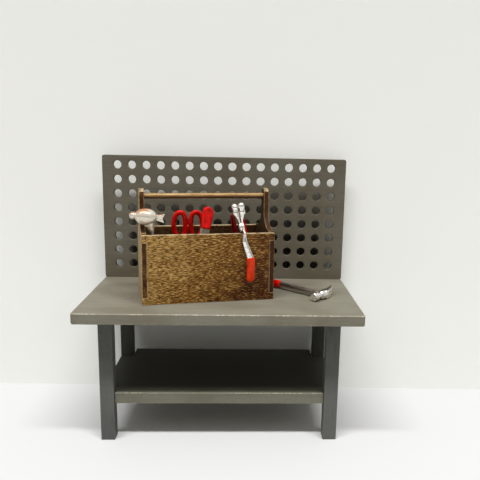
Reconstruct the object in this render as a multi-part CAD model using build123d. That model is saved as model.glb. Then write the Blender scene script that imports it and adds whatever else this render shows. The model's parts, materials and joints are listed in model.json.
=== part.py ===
from build123d import *
import os
from math import cos, pi, radians, sin

# A toy workbench at one-twelfth scale: a painted bench with a pegboard back, and on it a plywood
# toolbox with hand tools in it. Sizes are millimetres. The origin is on the floor under the middle
# of the bench, with +X to the right, +Y to the back and +Z up.

# Bench top
TOP_WIDTH = 120.0
TOP_DEPTH = 67.4
TOP_THICK = 4.7
TOP_HEIGHT = 60.8  # floor to the working surface
TOP_CORNER = 1.0  # rounding of the upright corners
EDGE_EASE = 0.25  # sanded edges of the painted boards

# Legs
LEG_SIZE = 6.0
LEG_END_INSET = 8.2  # end of the top to a leg's outer face
LEG_FRONT_INSET = 10.6  # front edge of the top to a front leg's front face
LEG_BACK_INSET = 4.4  # back edge of the top to a back leg's back face

# Lower shelf, notched round the legs
SHELF_HEIGHT = 21.6  # floor to the shelf's upper face
SHELF_THICK = 5.0
SHELF_SETBACK = 1.3  # shelf edge behind the front legs' front faces
NOTCH_GAP = 0.15

# Pegboard, standing on the back edge of the top
BOARD_HEIGHT = 61.0
BOARD_THICK = 3.0
BOARD_CORNER = 1.2
HOLE_DIAMETER = 4.1
HOLE_PITCH = 7.03
HOLE_SIDE_MARGIN = 6.0  # least distance from the outer holes' middles to the board's ends
HOLE_TOP_MARGIN = 4.0
HOLE_FIRST_ROW = 7.2  # top surface to the lowest row
HOLE_SIDES = 8  # facets of the plain holes; the four corner holes stay round

# Hidden joinery of the bench
LEG_DOWEL_DIAMETER = 2.4
LEG_DOWEL_IN_LEG = 7.0
LEG_DOWEL_IN_TOP = 2.8
PIN_DIAMETER = 1.0
PIN_DEPTH = 2.8  # how far a pin goes into each of the two boards
BOARD_PIN_COUNT = 4
PEG_SIDES = 8  # facets of the hidden dowels and pins
GLUE_GAP = 0.05

# Toolbox of laser-cut plywood
PLY = 2.2
BOX_WIDTH = 57.5
BOX_DEPTH = 28.0
PANEL_HEIGHT = 30.0
TAB_HEIGHT = 3.1  # corner tabs of the front and back panels
SHOULDER_RISE = 0.6  # end panel's shoulder above the front panel
POST_WIDTH = 5.0
POST_HEIGHT = 48.5
POST_CURVE_RISE = 7.6  # height of the concave curve between shoulder and post
HANDLE_DIAMETER = 2.4
HANDLE_BELOW_TOP = 3.4  # handle axis below the top of the posts
BOX_FROM_LEFT = 27.0  # left end of the top to the box's front left corner
BOX_FROM_FRONT = 12.5  # front edge of the top to that corner
BOX_TURN = 12.6  # degrees, the right side swung to the back

# Pliers, the same pattern hung on the rim and standing in the box
BOSS_RADIUS = 2.1
LAP_THICK = 0.95  # each half at the rivet
LAP_GAP = 0.06
NECK_WIDTH = 2.2  # from front to back, where the neck flares from the lap to the jaw
JAW_REACH = 10.6  # rivet to the tip of the jaws
JAW_LENGTH = 5.6
JAW_WIDTH = 2.7
JAW_THICK = 2.9
JAW_EASE = 0.7
HANDLE_ROOT = 0.9  # where a handle starts inside the boss, to the side and down
RIM_SPREAD = 3.3  # handle of the pliers on the rim from their middle, from the bend downwards
BOX_SPREAD = 2.3  # the same for the pliers in the box
SHOULDER_INSET = 0.9  # how much closer a handle is level with the foot of the boss
HANDLE_BEND = 6.0  # rivet to the bend
HANDLE_HALF_THICK = 0.85
HANDLE_HALF_WIDTH = 1.55  # at the grip
BEND_HALF_WIDTH = 1.1
GRIP_START = 13.3  # rivet to the top of the dipped grip
GRIP_END = 23.8
GRIP_OVERLAP = 3.0  # how far a metal handle runs into its grip
GRIP_WALL = 0.3
GRIP_TOE_IN = 0.3  # how far the grips' ends lean together
GRIP_TIP_TAPER = 0.25  # how much thinner a grip's end is on each side
GRIP_TIP_LENGTH = 1.6
RIVET_RADIUS = 0.7
RIVET_HEAD_RADIUS = 1.2
RIVET_HEAD_HEIGHT = 0.3
RIVET_HEAD_SIDES = 12
RIVET_FIT = 0.05
RIM_PLIERS_FROM_RIGHT = 14.8  # box's right end to the rivet
RIM_PLIERS_LEAN = 10.5  # degrees, jaws to the left
RIM_PLIERS_SEAT = 0.6  # rim to the underside of the boss
BOX_PLIERS_FROM_RIGHT = 8.4
BOX_PLIERS_FROM_BACK = 6.8  # inside face of the back panel to the middle of the pliers
BOX_PLIERS_LEAN = 12.0

# Snips standing in the box
SNIPS_BLADE_LENGTH = 12.4
SNIPS_BLADE_WIDTH = 2.6
SNIPS_HEEL = 7.4  # rivet to where a blade starts to narrow
SNIPS_POINT_INSET = 1.0  # back of a blade to its point
SNIPS_LAP = 0.95
SNIPS_BOSS_RADIUS = 1.8
SNIPS_SHANK_WIDTH = 2.9
SNIPS_BOW_RISE = 16.7  # rivet to the middle of the bows
SNIPS_BOW_WIDTH = 7.5
SNIPS_BOW_HEIGHT = 13.4
SNIPS_BOW_TUBE = 2.1
SNIPS_BOW_GAP = 0.25
SNIPS_BOW_SPANS = 7  # straight spans of half a bow
SNIPS_FROM_LEFT = 22.0  # box's left end to the rivet
SNIPS_FROM_BACK = 6.3

# Flat chisel standing in the box
CHISEL_BLADE_LENGTH = 29.0
CHISEL_BLADE_WIDTH = 3.8
CHISEL_BLADE_THICK = 1.0
CHISEL_BEVEL = 2.5
CHISEL_EDGE = 0.2  # thickness left at the cutting edge
CHISEL_TANG_LENGTH = 4.0
CHISEL_TANG_WIDTH = 1.6
CHISEL_HANDLE_LENGTH = 9.6
CHISEL_NECK_WIDTH = 4.0
CHISEL_SWELL = 4.3  # neck to where the handle is full
CHISEL_HANDLE_WIDTH = 4.6
CHISEL_HANDLE_THICK = 3.2
CHISEL_HANDLE_EASE = 0.6
CHISEL_FROM_LEFT = 23.6
CHISEL_FROM_FRONT = 6.4  # inside face of the front panel to the middle of the blade
CHISEL_LEAN = 9.0  # degrees, handle to the right

# Both claw hammers
SHAFT_PROUD = 1.0  # shaft past the middle of the eye
HAMMER_GRIP_RADIUS = 1.75
HAMMER_GRIP_LENGTH = 11.0
HAMMER_GRIP_EASE = 0.45
HAMMER_GRIP_END = 1.2  # solid end of the grip under the shaft

# Hammer in the box
BOX_SHAFT_LENGTH = 34.9  # end of the grip to the middle of the eye
BOX_SHAFT_RADIUS = 0.8
BOX_HEAD_TILT = 15.0  # degrees, the head's tail bent down towards the grip
SOCKET_LENGTH = 6.6  # middle of the head to the end of the cone round the shaft
SOCKET_RADIUS = 2.2  # of the cone, at the middle of the head
SOCKET_END_RADIUS = 1.05
EGG_RADIUS = 3.6
EGG_HALF_LENGTH = 4.8
EGG_OFFSET = 1.2  # middle of the body, from the eye towards the knob
EGG_CUT = 25.0  # degrees, where the egg's two ends are cut off
KNOB_RADIUS = 1.6
KNOB_STANDOFF = 0.7  # end of the egg to the middle of the knob
KNOB_CUT = 30.0  # degrees, flat on the knob's end
CREASE_RADIUS = 0.95  # between knob and egg
WAIST_RADIUS = 1.0
TAIL_LENGTH = 3.0  # end of the egg to the tips of the tail
TAIL_HEIGHT = 4.2
TAIL_THICK = 1.6
TAIL_NOTCH = 1.7
BOX_HAMMER_FROM_LEFT = 9.2
BOX_HAMMER_FROM_FRONT = 3.4
BOX_HAMMER_LEAN = 9.0  # degrees, head to the left

# Hammer on the bench
BENCH_SHAFT_LENGTH = 36.6
BENCH_SHAFT_RADIUS = 1.25
POLL_RADIUS = 1.9
POLL_REACH = 6.8
POLL_LENGTH = 2.6
POLL_EASE = 0.3
POLL_NECK_RADIUS = 1.25
CHEEK_RADIUS = 2.0
CHEEK_HALF_LENGTH = 2.0
CHEEK_EASE = 0.6
CLAW_REACH = 11.0
CLAW_DROP = 3.6  # how far the claw's tip bends towards the grip
CLAW_ROOT = 3.0
CLAW_TIP = 0.5
CLAW_WIDTH = 3.6
CLAW_SLOT = 1.3
CLAW_SLOT_LENGTH = 6.8
BENCH_HAMMER_BESIDE = 2.5  # box's right end to the end of the grip
BENCH_HAMMER_FROM_BACK = 1.0  # box's back to the end of the grip
BENCH_HAMMER_TURN = 58.0  # degrees between the handle and the box's front

OVAL_SIDES = 10  # facets round a handle, grip or bow
TURNED_SIDES = 16  # facets round a hammer head
TURNED_STEPS = 6  # rings along a knob or an egg
SEAT_GAP = 0.1  # under a tool that stands on the box's floor or lies on the bench

LOW = (Align.CENTER, Align.CENTER, Align.MIN)
CORNER = (Align.MIN, Align.MIN, Align.MIN)


def block(low, high):
    """A box from its lowest to its highest corner."""
    return Pos(*low) * Box(*(b - a for a, b in zip(low, high)), align=CORNER)


def rod(start, direction, radius, length):
    """A round rod from a point along a direction."""
    return Location(Plane(origin=start, z_dir=direction)) * Cylinder(radius, length, align=LOW)


def peg(start, direction, radius, length):
    """A faceted peg from a point along a direction."""
    return extrude(Plane(origin=start, z_dir=direction) * RegularPolygon(radius, PEG_SIDES), length)


def oval(plane, half_x, half_y, sides=OVAL_SIDES):
    """Points of a faceted oval on a plane, with a flat to each side."""
    angles = [2 * pi * (i + 0.5) / sides for i in range(sides)]
    return [plane.from_local_coords((half_x * cos(a), half_y * sin(a), 0)) for a in angles]


def skin(sections):
    """A solid with flat facets through closed sections of as many points each."""
    facets = [sections[0], sections[-1]]
    for low, high in zip(sections, sections[1:]):
        for i in range(len(low)):
            facets.append((low[i - 1], low[i], high[i]))
            facets.append((low[i - 1], high[i], high[i - 1]))
    return Solid(Shell([Face(Wire.make_polygon(points)) for points in facets]))


def stack(sections):
    """A solid through level ovals: (x, y, z, half width in x, half width in y)."""
    return skin([oval(Plane((x, y, z)), half_x, half_y) for x, y, z, half_x, half_y in sections])


def turned(rings):
    """A solid round the X axis through rings: (x, radius)."""
    facing = [Plane(origin=(x, 0, 0), z_dir=(1, 0, 0)) for x, _ in rings]
    return skin([oval(plane, r, r, TURNED_SIDES) for plane, (_, r) in zip(facing, rings)])


def ball_rings(middle, half_length, radius, start, end):
    """Rings of a ball or egg, between two angles from its low end in X."""
    angles = [radians(start + (end - start) * i / (TURNED_STEPS - 1)) for i in range(TURNED_STEPS)]
    return [(middle - half_length * cos(a), radius * sin(a)) for a in angles]


# Bench
LEG_TOP = TOP_HEIGHT - TOP_THICK
LEG_X = TOP_WIDTH / 2 - LEG_END_INSET - LEG_SIZE / 2
LEG_FRONT_Y = -TOP_DEPTH / 2 + LEG_FRONT_INSET + LEG_SIZE / 2
LEG_BACK_Y = TOP_DEPTH / 2 - LEG_BACK_INSET - LEG_SIZE / 2
LEGS = {
    "front_left_leg": (-LEG_X, LEG_FRONT_Y),
    "front_right_leg": (LEG_X, LEG_FRONT_Y),
    "back_left_leg": (-LEG_X, LEG_BACK_Y),
    "back_right_leg": (LEG_X, LEG_BACK_Y),
}
BOARD_Y = TOP_DEPTH / 2 - BOARD_THICK / 2
HOLE_COLUMNS = int((TOP_WIDTH - 2 * HOLE_SIDE_MARGIN) / HOLE_PITCH) + 1
HOLE_ROWS = int((BOARD_HEIGHT - HOLE_FIRST_ROW - HOLE_TOP_MARGIN) / HOLE_PITCH) + 1
BOARD_PIN_XS = [
    TOP_WIDTH * ((i + 0.5) / BOARD_PIN_COUNT - 0.5) for i in range(BOARD_PIN_COUNT)
]
SHELF_MID_Z = SHELF_HEIGHT - SHELF_THICK / 2


def leg_dowel(centre, gap):
    """Dowel from a leg into the top, or with a gap the hole for it."""
    x, y = centre
    start = LEG_TOP - LEG_DOWEL_IN_LEG - gap
    length = LEG_DOWEL_IN_LEG + LEG_DOWEL_IN_TOP + 2 * gap
    return peg((x, y, start), (0, 0, 1), LEG_DOWEL_DIAMETER / 2 + gap, length)


def board_pin(x, gap):
    """Pin from the pegboard's lower edge into the top, or the hole for it."""
    start = (x, BOARD_Y, TOP_HEIGHT - PIN_DEPTH - gap)
    return peg(start, (0, 0, 1), PIN_DIAMETER / 2 + gap, 2 * (PIN_DEPTH + gap))


def shelf_pin(centre, gap):
    """Pin from a leg's inner face into the shelf, or the hole for it."""
    x, y = centre
    inward = -1 if x > 0 else 1
    face = x + inward * LEG_SIZE / 2
    start = (face - inward * (PIN_DEPTH + gap), y, SHELF_MID_Z)
    return peg(start, (inward, 0, 0), PIN_DIAMETER / 2 + gap, 2 * (PIN_DEPTH + gap))


def make_top():
    top = Pos(0, 0, LEG_TOP) * Box(TOP_WIDTH, TOP_DEPTH, TOP_THICK, align=LOW)
    top = fillet(top.edges().filter_by(Axis.Z), TOP_CORNER)
    top = chamfer(top.faces().filter_by(Axis.Z).edges(), EDGE_EASE)
    top -= [leg_dowel(centre, GLUE_GAP) for centre in LEGS.values()]
    return top - [board_pin(x, GLUE_GAP) for x in BOARD_PIN_XS]


def make_leg(centre):
    leg = Pos(*centre, 0) * Box(LEG_SIZE, LEG_SIZE, LEG_TOP, align=LOW)
    leg = chamfer(leg.edges().filter_by(Axis.Z), EDGE_EASE)
    return leg - [leg_dowel(centre, GLUE_GAP), shelf_pin(centre, GLUE_GAP)]


def make_shelf():
    outer = LEG_X + LEG_SIZE / 2
    front = LEG_FRONT_Y - LEG_SIZE / 2 + SHELF_SETBACK
    back = TOP_DEPTH / 2
    low = SHELF_HEIGHT - SHELF_THICK
    shelf = block((-outer, front, low), (outer, back, SHELF_HEIGHT))
    reach = LEG_SIZE / 2 + NOTCH_GAP
    for x, y in LEGS.values():
        notch_x = (x - reach, outer) if x > 0 else (-outer, x + reach)
        notch_y = (y - reach, back) if y > 0 else (front, y + reach)
        shelf -= block((notch_x[0], notch_y[0], low), (notch_x[1], notch_y[1], SHELF_HEIGHT))
    shelf = chamfer(shelf.faces().sort_by(Axis.Y)[0].edges().filter_by(Axis.X), EDGE_EASE)
    return shelf - [shelf_pin(centre, GLUE_GAP) for centre in LEGS.values()]


def make_pegboard():
    outline = Rectangle(TOP_WIDTH, BOARD_HEIGHT, align=(Align.CENTER, Align.MIN))
    outline = fillet(outline.vertices(), BOARD_CORNER)
    radius = HOLE_DIAMETER / 2
    holes = []
    for column in range(HOLE_COLUMNS):
        for row in range(HOLE_ROWS):
            x = HOLE_PITCH * (column - (HOLE_COLUMNS - 1) / 2)
            corner = column in (0, HOLE_COLUMNS - 1) and row in (0, HOLE_ROWS - 1)
            shape = Circle(radius) if corner else RegularPolygon(radius, HOLE_SIDES)
            holes.append(Pos(x, HOLE_FIRST_ROW + HOLE_PITCH * row) * shape)
    outline -= holes
    back = Plane(origin=(0, TOP_DEPTH / 2, TOP_HEIGHT), x_dir=(1, 0, 0), z_dir=(0, -1, 0))
    board = extrude(back * outline, BOARD_THICK)
    return board - [board_pin(x, GLUE_GAP) for x in BOARD_PIN_XS]


# Toolbox, drawn with its front left lower corner at the origin
BOX_PLACE = Location(
    (BOX_FROM_LEFT - TOP_WIDTH / 2, BOX_FROM_FRONT - TOP_DEPTH / 2, TOP_HEIGHT), (0, 0, BOX_TURN)
)
HANDLE_Y = BOX_DEPTH / 2
HANDLE_Z = POST_HEIGHT - HANDLE_BELOW_TOP


def box_side_panel(y):
    """Front or back panel: a board with a tab at each corner."""
    panel = block((0, y, 0), (BOX_WIDTH, y + PLY, PANEL_HEIGHT))
    for x in (0, BOX_WIDTH - PLY):
        panel -= block((x, y, TAB_HEIGHT), (x + PLY, y + PLY, PANEL_HEIGHT - TAB_HEIGHT))
    return panel


def box_end_panel(x):
    """End panel: tongues between the tabs, a concave shoulder and a rounded post."""
    shoulder = PANEL_HEIGHT + SHOULDER_RISE
    curve_top = shoulder + POST_CURVE_RISE
    side = BOX_DEPTH / 2 - PLY
    post = POST_WIDTH / 2
    round_start = POST_HEIGHT - post
    tongue_top = PANEL_HEIGHT - TAB_HEIGHT
    half = [
        Polyline((0, 0), (side, 0), (side, TAB_HEIGHT), (side + PLY, TAB_HEIGHT),
                 (side + PLY, tongue_top), (side, tongue_top), (side, shoulder)),
        EllipticalCenterArc((side, curve_top), side - post, POST_CURVE_RISE, 180, arc_size=90),
        Line((post, curve_top), (post, round_start)),
        CenterArc((0, round_start), post, 0, 90),
        Line((0, POST_HEIGHT), (0, 0)),
    ]
    face = make_face(half)
    face += mirror(face, about=Plane.YZ)
    across = Plane(origin=(x, HANDLE_Y, 0), x_dir=(0, 1, 0), z_dir=(1, 0, 0))
    panel = extrude(across * face, PLY)
    return panel - rod((x, HANDLE_Y, HANDLE_Z), (1, 0, 0), HANDLE_DIAMETER / 2 + GLUE_GAP, PLY)


def make_toolbox():
    return {
        "box_front": box_side_panel(0),
        "box_back": box_side_panel(BOX_DEPTH - PLY),
        "box_left_end": box_end_panel(0),
        "box_right_end": box_end_panel(BOX_WIDTH - PLY),
        "box_floor": block((PLY, PLY, 0), (BOX_WIDTH - PLY, BOX_DEPTH - PLY, PLY)),
        "box_handle": rod((0, HANDLE_Y, HANDLE_Z), (1, 0, 0), HANDLE_DIAMETER / 2, BOX_WIDTH),
    }


# Pliers, drawn with the rivet at the origin along Y and the jaws up
def pliers_handle(side, spread):
    """Metal handle from inside the boss to inside the grip."""
    lap = side * (LAP_GAP + LAP_THICK) / 2
    x = side * spread
    thick = HANDLE_HALF_THICK
    return stack([
        (side * HANDLE_ROOT, lap, -HANDLE_ROOT, thick, LAP_THICK / 2),
        (x - side * SHOULDER_INSET, lap, -BOSS_RADIUS, thick, LAP_THICK / 2),
        (x, lap / 2, -HANDLE_BEND, thick, BEND_HALF_WIDTH),
        (x, 0, -GRIP_START, thick, HANDLE_HALF_WIDTH),
        (x, 0, -GRIP_START - GRIP_OVERLAP, thick, HANDLE_HALF_WIDTH),
    ])


def pliers_half(side, spread):
    """One half: side is +1 or -1, for the way its handle goes in X and its lap lies in Y."""
    lap = side * (LAP_GAP + LAP_THICK) / 2
    boss = Location(Plane(origin=(0, lap, 0), z_dir=(0, 1, 0))) * Cylinder(BOSS_RADIUS, LAP_THICK)
    jaw_y = side * (LAP_GAP + JAW_THICK) / 2
    jaw = Pos(0, jaw_y, JAW_REACH - JAW_LENGTH / 2) * Box(JAW_WIDTH, JAW_THICK, JAW_LENGTH)
    jaw = chamfer(jaw.edges(), JAW_EASE)
    outside = LAP_GAP / 2 + LAP_THICK
    jaw_low = JAW_REACH - JAW_LENGTH + JAW_EASE
    neck = make_face(Polyline(
        (LAP_GAP / 2, 0), (outside, 0), (outside, BOSS_RADIUS), (LAP_GAP / 2 + JAW_THICK, jaw_low),
        (LAP_GAP / 2, jaw_low), close=True,
    ))
    edge_on = Plane(origin=(0, 0, 0), x_dir=(0, side, 0), z_dir=(side, 0, 0))
    half = boss + extrude(edge_on * neck, NECK_WIDTH / 2, both=True) + jaw
    half += pliers_handle(side, spread)
    return half - rod((0, side * LAP_GAP / 2, 0), (0, side, 0), RIVET_RADIUS + RIVET_FIT, LAP_THICK)


def pliers_grip(side, spread):
    """Dipped grip round the end of one handle."""
    thick = HANDLE_HALF_THICK + GRIP_WALL
    width = HANDLE_HALF_WIDTH + GRIP_WALL
    tip_x = side * (spread - GRIP_TOE_IN)
    grip = stack([
        (side * spread, 0, -GRIP_START, thick, width),
        (side * spread, 0, -GRIP_START - GRIP_OVERLAP - GRIP_WALL, thick, width),
        (tip_x, 0, -GRIP_END + GRIP_TIP_LENGTH, thick, width),
        (tip_x, 0, -GRIP_END, thick - GRIP_TIP_TAPER, width - GRIP_TIP_TAPER),
    ])
    return grip - pliers_handle(side, spread)


def make_rivet(lap):
    """Rivet along Y through two laps, with a flat head on each side."""
    reach = lap + LAP_GAP / 2 + RIVET_HEAD_HEIGHT
    rivet = rod((0, -reach, 0), (0, 1, 0), RIVET_RADIUS, 2 * reach)
    outside = Plane(origin=(0, -reach, 0), z_dir=(0, 1, 0))
    head = extrude(outside * RegularPolygon(RIVET_HEAD_RADIUS, RIVET_HEAD_SIDES), RIVET_HEAD_HEIGHT)
    return rivet + head + mirror(head, about=Plane.XZ)


def make_pliers(name, first, second, spread, place):
    """Both halves, both grips and the rivet of a pair of pliers, put in place."""
    pieces = {name + "_rivet": make_rivet(LAP_THICK)}
    for word, side in ((first, 1), (second, -1)):
        pieces[f"{name}_{word}_half"] = pliers_half(side, spread)
        pieces[f"{name}_{word}_grip"] = pliers_grip(side, spread)
    return {node: place * piece for node, piece in pieces.items()}


# On the rim the handles straddle the front panel, so the rivet lies along the panel.
RIM_PLIERS_PLACE = Location(Plane(
    origin=(BOX_WIDTH - RIM_PLIERS_FROM_RIGHT, PLY / 2, PANEL_HEIGHT + BOSS_RADIUS + RIM_PLIERS_SEAT),
    x_dir=(0, 1, 0),
    z_dir=(-sin(radians(RIM_PLIERS_LEAN)), 0, cos(radians(RIM_PLIERS_LEAN))),
))
# In the box the pliers stand on their jaws, with the rivet across the box.
BOX_PLIERS_SLOPE = radians(BOX_PLIERS_LEAN)
BOX_PLIERS_RISE = JAW_REACH * cos(BOX_PLIERS_SLOPE) + JAW_WIDTH / 2 * sin(BOX_PLIERS_SLOPE)
BOX_PLIERS_PLACE = Location(Plane(
    origin=(BOX_WIDTH - BOX_PLIERS_FROM_RIGHT, BOX_DEPTH - PLY - BOX_PLIERS_FROM_BACK,
            PLY + SEAT_GAP + BOX_PLIERS_RISE),
    x_dir=(cos(BOX_PLIERS_SLOPE), 0, sin(BOX_PLIERS_SLOPE)),
    z_dir=(sin(BOX_PLIERS_SLOPE), 0, -cos(BOX_PLIERS_SLOPE)),
))


# Snips, drawn with the rivet at the origin along Y, the bows up and the blades down
SNIPS_BOW_X = (SNIPS_BOW_WIDTH + SNIPS_BOW_GAP) / 2


def snips_half(side):
    """One blade with its shank; side is the way its bow goes in X and its lap lies in Y."""
    back = -side * SNIPS_BLADE_WIDTH / 2
    blade = make_face(Polyline(
        (back, 0), (-back, 0), (back + side * SNIPS_POINT_INSET, -SNIPS_BLADE_LENGTH),
        (back, -SNIPS_HEEL), close=True,
    ))
    bow_x = side * SNIPS_BOW_X
    shank_top = SNIPS_BOW_RISE - SNIPS_BOW_HEIGHT / 2 + SNIPS_BOW_TUBE
    half_shank = SNIPS_SHANK_WIDTH / 2
    shank = make_face(Polyline(
        (-half_shank, 0), (half_shank, 0), (max(bow_x, bow_x - side * SNIPS_BOW_TUBE), shank_top),
        (min(bow_x, bow_x - side * SNIPS_BOW_TUBE), shank_top), close=True,
    ))
    flat = blade + shank + Circle(SNIPS_BOSS_RADIUS) - Circle(RIVET_RADIUS + RIVET_FIT)
    plane = Plane(origin=(0, side * LAP_GAP / 2, 0), x_dir=(1, 0, 0), z_dir=(0, -1, 0))
    return extrude(plane * flat, -side * SNIPS_LAP)


def snips_bow(side):
    """Dipped oval bow: half of it through sections along an oval, and its mirror image."""
    tube = SNIPS_BOW_TUBE / 2
    across = SNIPS_BOW_WIDTH / 2 - tube
    up = SNIPS_BOW_HEIGHT / 2 - tube
    sections = []
    for i in range(SNIPS_BOW_SPANS + 1):
        angle = pi * (i / SNIPS_BOW_SPANS - 0.5)
        centre = (across * cos(angle), 0, up * sin(angle))
        along = (-across * sin(angle), 0, up * cos(angle))
        sections.append(oval(Plane(origin=centre, x_dir=(0, 1, 0), z_dir=along), tube, tube))
    half = skin(sections)
    return Pos(side * SNIPS_BOW_X, 0, SNIPS_BOW_RISE) * (half + mirror(half, about=Plane.YZ))


def make_snips(place):
    pieces = {"snips_rivet": make_rivet(SNIPS_LAP)}
    for word, side in (("right", 1), ("left", -1)):
        half = snips_half(side)
        pieces[f"snips_{word}_blade"] = half
        pieces[f"snips_{word}_bow"] = snips_bow(side) - half
    return {node: place * piece for node, piece in pieces.items()}


SNIPS_PLACE = Pos(
    SNIPS_FROM_LEFT, BOX_DEPTH - PLY - SNIPS_FROM_BACK, PLY + SEAT_GAP + SNIPS_BLADE_LENGTH
)


# Chisel, drawn with its edge at the origin and the handle up
def make_chisel(place):
    blade = Box(CHISEL_BLADE_WIDTH, CHISEL_BLADE_THICK, CHISEL_BLADE_LENGTH, align=LOW)
    front_edge = blade.edges().filter_by(Axis.X).group_by(Axis.Z)[0].sort_by(Axis.Y)[0]
    blade = chamfer(front_edge, CHISEL_BEVEL, CHISEL_BLADE_THICK - CHISEL_EDGE)
    tang = Box(CHISEL_TANG_WIDTH, CHISEL_BLADE_THICK, CHISEL_TANG_LENGTH, align=LOW)
    tang = Pos(0, 0, CHISEL_BLADE_LENGTH) * tang
    side = CHISEL_HANDLE_WIDTH / 2
    round_start = CHISEL_HANDLE_LENGTH - side
    face = make_face([
        Polyline((0, 0), (CHISEL_NECK_WIDTH / 2, 0), (side, CHISEL_SWELL), (side, round_start)),
        CenterArc((0, round_start), side, 0, 90),
        Line((0, CHISEL_HANDLE_LENGTH), (0, 0)),
    ])
    face += mirror(face, about=Plane.YZ)
    handle = extrude(Plane.XZ * face, CHISEL_HANDLE_THICK / 2, both=True)
    handle = chamfer(handle.faces().filter_by(Axis.Y).edges(), CHISEL_HANDLE_EASE)
    handle = Pos(0, 0, CHISEL_BLADE_LENGTH) * handle
    return {"chisel_blade": place * (blade + tang), "chisel_handle": place * (handle - tang)}


CHISEL_PLACE = Location(Plane(
    origin=(CHISEL_FROM_LEFT, PLY + CHISEL_FROM_FRONT,
            PLY + SEAT_GAP + CHISEL_BLADE_WIDTH / 2 * sin(radians(CHISEL_LEAN))),
    x_dir=(cos(radians(CHISEL_LEAN)), 0, -sin(radians(CHISEL_LEAN))),
    z_dir=(sin(radians(CHISEL_LEAN)), 0, cos(radians(CHISEL_LEAN))),
))


# Claw hammers, drawn with the end of the grip at the origin, the shaft up and the claw to +X
def hammer_shaft(radius, eye):
    """Shaft from inside the grip to just past the eye, at that height."""
    return rod((0, 0, HAMMER_GRIP_END), (0, 0, 1), radius, eye + SHAFT_PROUD - HAMMER_GRIP_END)


def hammer_grip():
    full = HAMMER_GRIP_RADIUS
    end = full - HAMMER_GRIP_EASE
    return stack([
        (0, 0, 0, end, end), (0, 0, HAMMER_GRIP_EASE, full, full),
        (0, 0, HAMMER_GRIP_LENGTH - HAMMER_GRIP_EASE, full, full), (0, 0, HAMMER_GRIP_LENGTH, end, end),
    ])


def box_hammer_head():
    """Cast head with a knob, an egg-shaped body and a forked fish tail, on a cone round the shaft."""
    egg_start = -EGG_OFFSET - EGG_HALF_LENGTH
    egg_end = -EGG_OFFSET + EGG_HALF_LENGTH
    knob = ball_rings(egg_start - KNOB_STANDOFF, KNOB_RADIUS, KNOB_RADIUS, KNOB_CUT, 90 + KNOB_CUT)
    egg = ball_rings(-EGG_OFFSET, EGG_HALF_LENGTH, EGG_RADIUS, EGG_CUT, 180 - EGG_CUT)
    crease_x = (knob[-1][0] + egg[0][0]) / 2
    body = turned(knob + [(crease_x, CREASE_RADIUS)] + egg + [(egg_end, WAIST_RADIUS)])
    tip_x = egg_end + TAIL_LENGTH
    tail = make_face(Polyline(
        (egg[-1][0], WAIST_RADIUS), (egg_end, WAIST_RADIUS), (tip_x, TAIL_HEIGHT / 2),
        (tip_x - TAIL_NOTCH, 0),
        (tip_x, -TAIL_HEIGHT / 2), (egg_end, -WAIST_RADIUS), (egg[-1][0], -WAIST_RADIUS), close=True,
    ))
    body += extrude(Plane.XZ * tail, TAIL_THICK / 2, both=True)
    socket = Pos(0, 0, -SOCKET_LENGTH) * Cone(SOCKET_END_RADIUS, SOCKET_RADIUS, SOCKET_LENGTH, align=LOW)
    return Rot(0, BOX_HEAD_TILT, 0) * body + socket


def bench_hammer_head():
    """Cast head with a round poll and a curved split claw."""
    poll_end = -POLL_REACH + POLL_LENGTH
    cheek = -CHEEK_HALF_LENGTH
    body = turned([
        (-POLL_REACH, POLL_RADIUS - POLL_EASE), (-POLL_REACH + POLL_EASE, POLL_RADIUS),
        (poll_end, POLL_RADIUS), (poll_end + CHEEK_EASE, POLL_NECK_RADIUS),
        (cheek, POLL_NECK_RADIUS), (cheek + CHEEK_EASE, CHEEK_RADIUS), (-cheek, CHEEK_RADIUS),
    ])
    root = CHEEK_HALF_LENGTH - CHEEK_EASE
    tip = CLAW_REACH - CLAW_TIP
    upper = TangentArc((root, CLAW_ROOT / 2), (CLAW_REACH, -CLAW_DROP), tangent=(1, 0))
    lower = TangentArc((root, -CLAW_ROOT / 2), (tip, -CLAW_DROP - CLAW_TIP), tangent=(1, 0))
    claw = make_face([upper, Line(upper @ 1, lower @ 1), lower, Line(lower @ 0, upper @ 0)])
    claw = extrude(Plane.XZ * claw, CLAW_WIDTH / 2, both=True)
    slot = make_face(Polyline(
        (CLAW_REACH - CLAW_SLOT_LENGTH, 0), (CLAW_REACH, CLAW_SLOT / 2), (CLAW_REACH, -CLAW_SLOT / 2),
        close=True,
    ))
    return body + (claw - extrude(slot, CLAW_DROP + CLAW_ROOT, both=True))


def make_hammer(name, head, shaft, eye, place):
    head = Pos(0, 0, eye) * head - shaft
    pieces = {name + "_head": head, name + "_shaft": shaft, name + "_grip": hammer_grip() - shaft}
    return {node: place * piece for node, piece in pieces.items()}


BOX_HAMMER_SLOPE = radians(BOX_HAMMER_LEAN)
BOX_HAMMER_PLACE = Location(Plane(
    origin=(BOX_HAMMER_FROM_LEFT, PLY + BOX_HAMMER_FROM_FRONT,
            PLY + SEAT_GAP + HAMMER_GRIP_RADIUS * sin(BOX_HAMMER_SLOPE)),
    x_dir=(cos(BOX_HAMMER_SLOPE), 0, sin(BOX_HAMMER_SLOPE)),
    z_dir=(-sin(BOX_HAMMER_SLOPE), 0, cos(BOX_HAMMER_SLOPE)),
))
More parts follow.
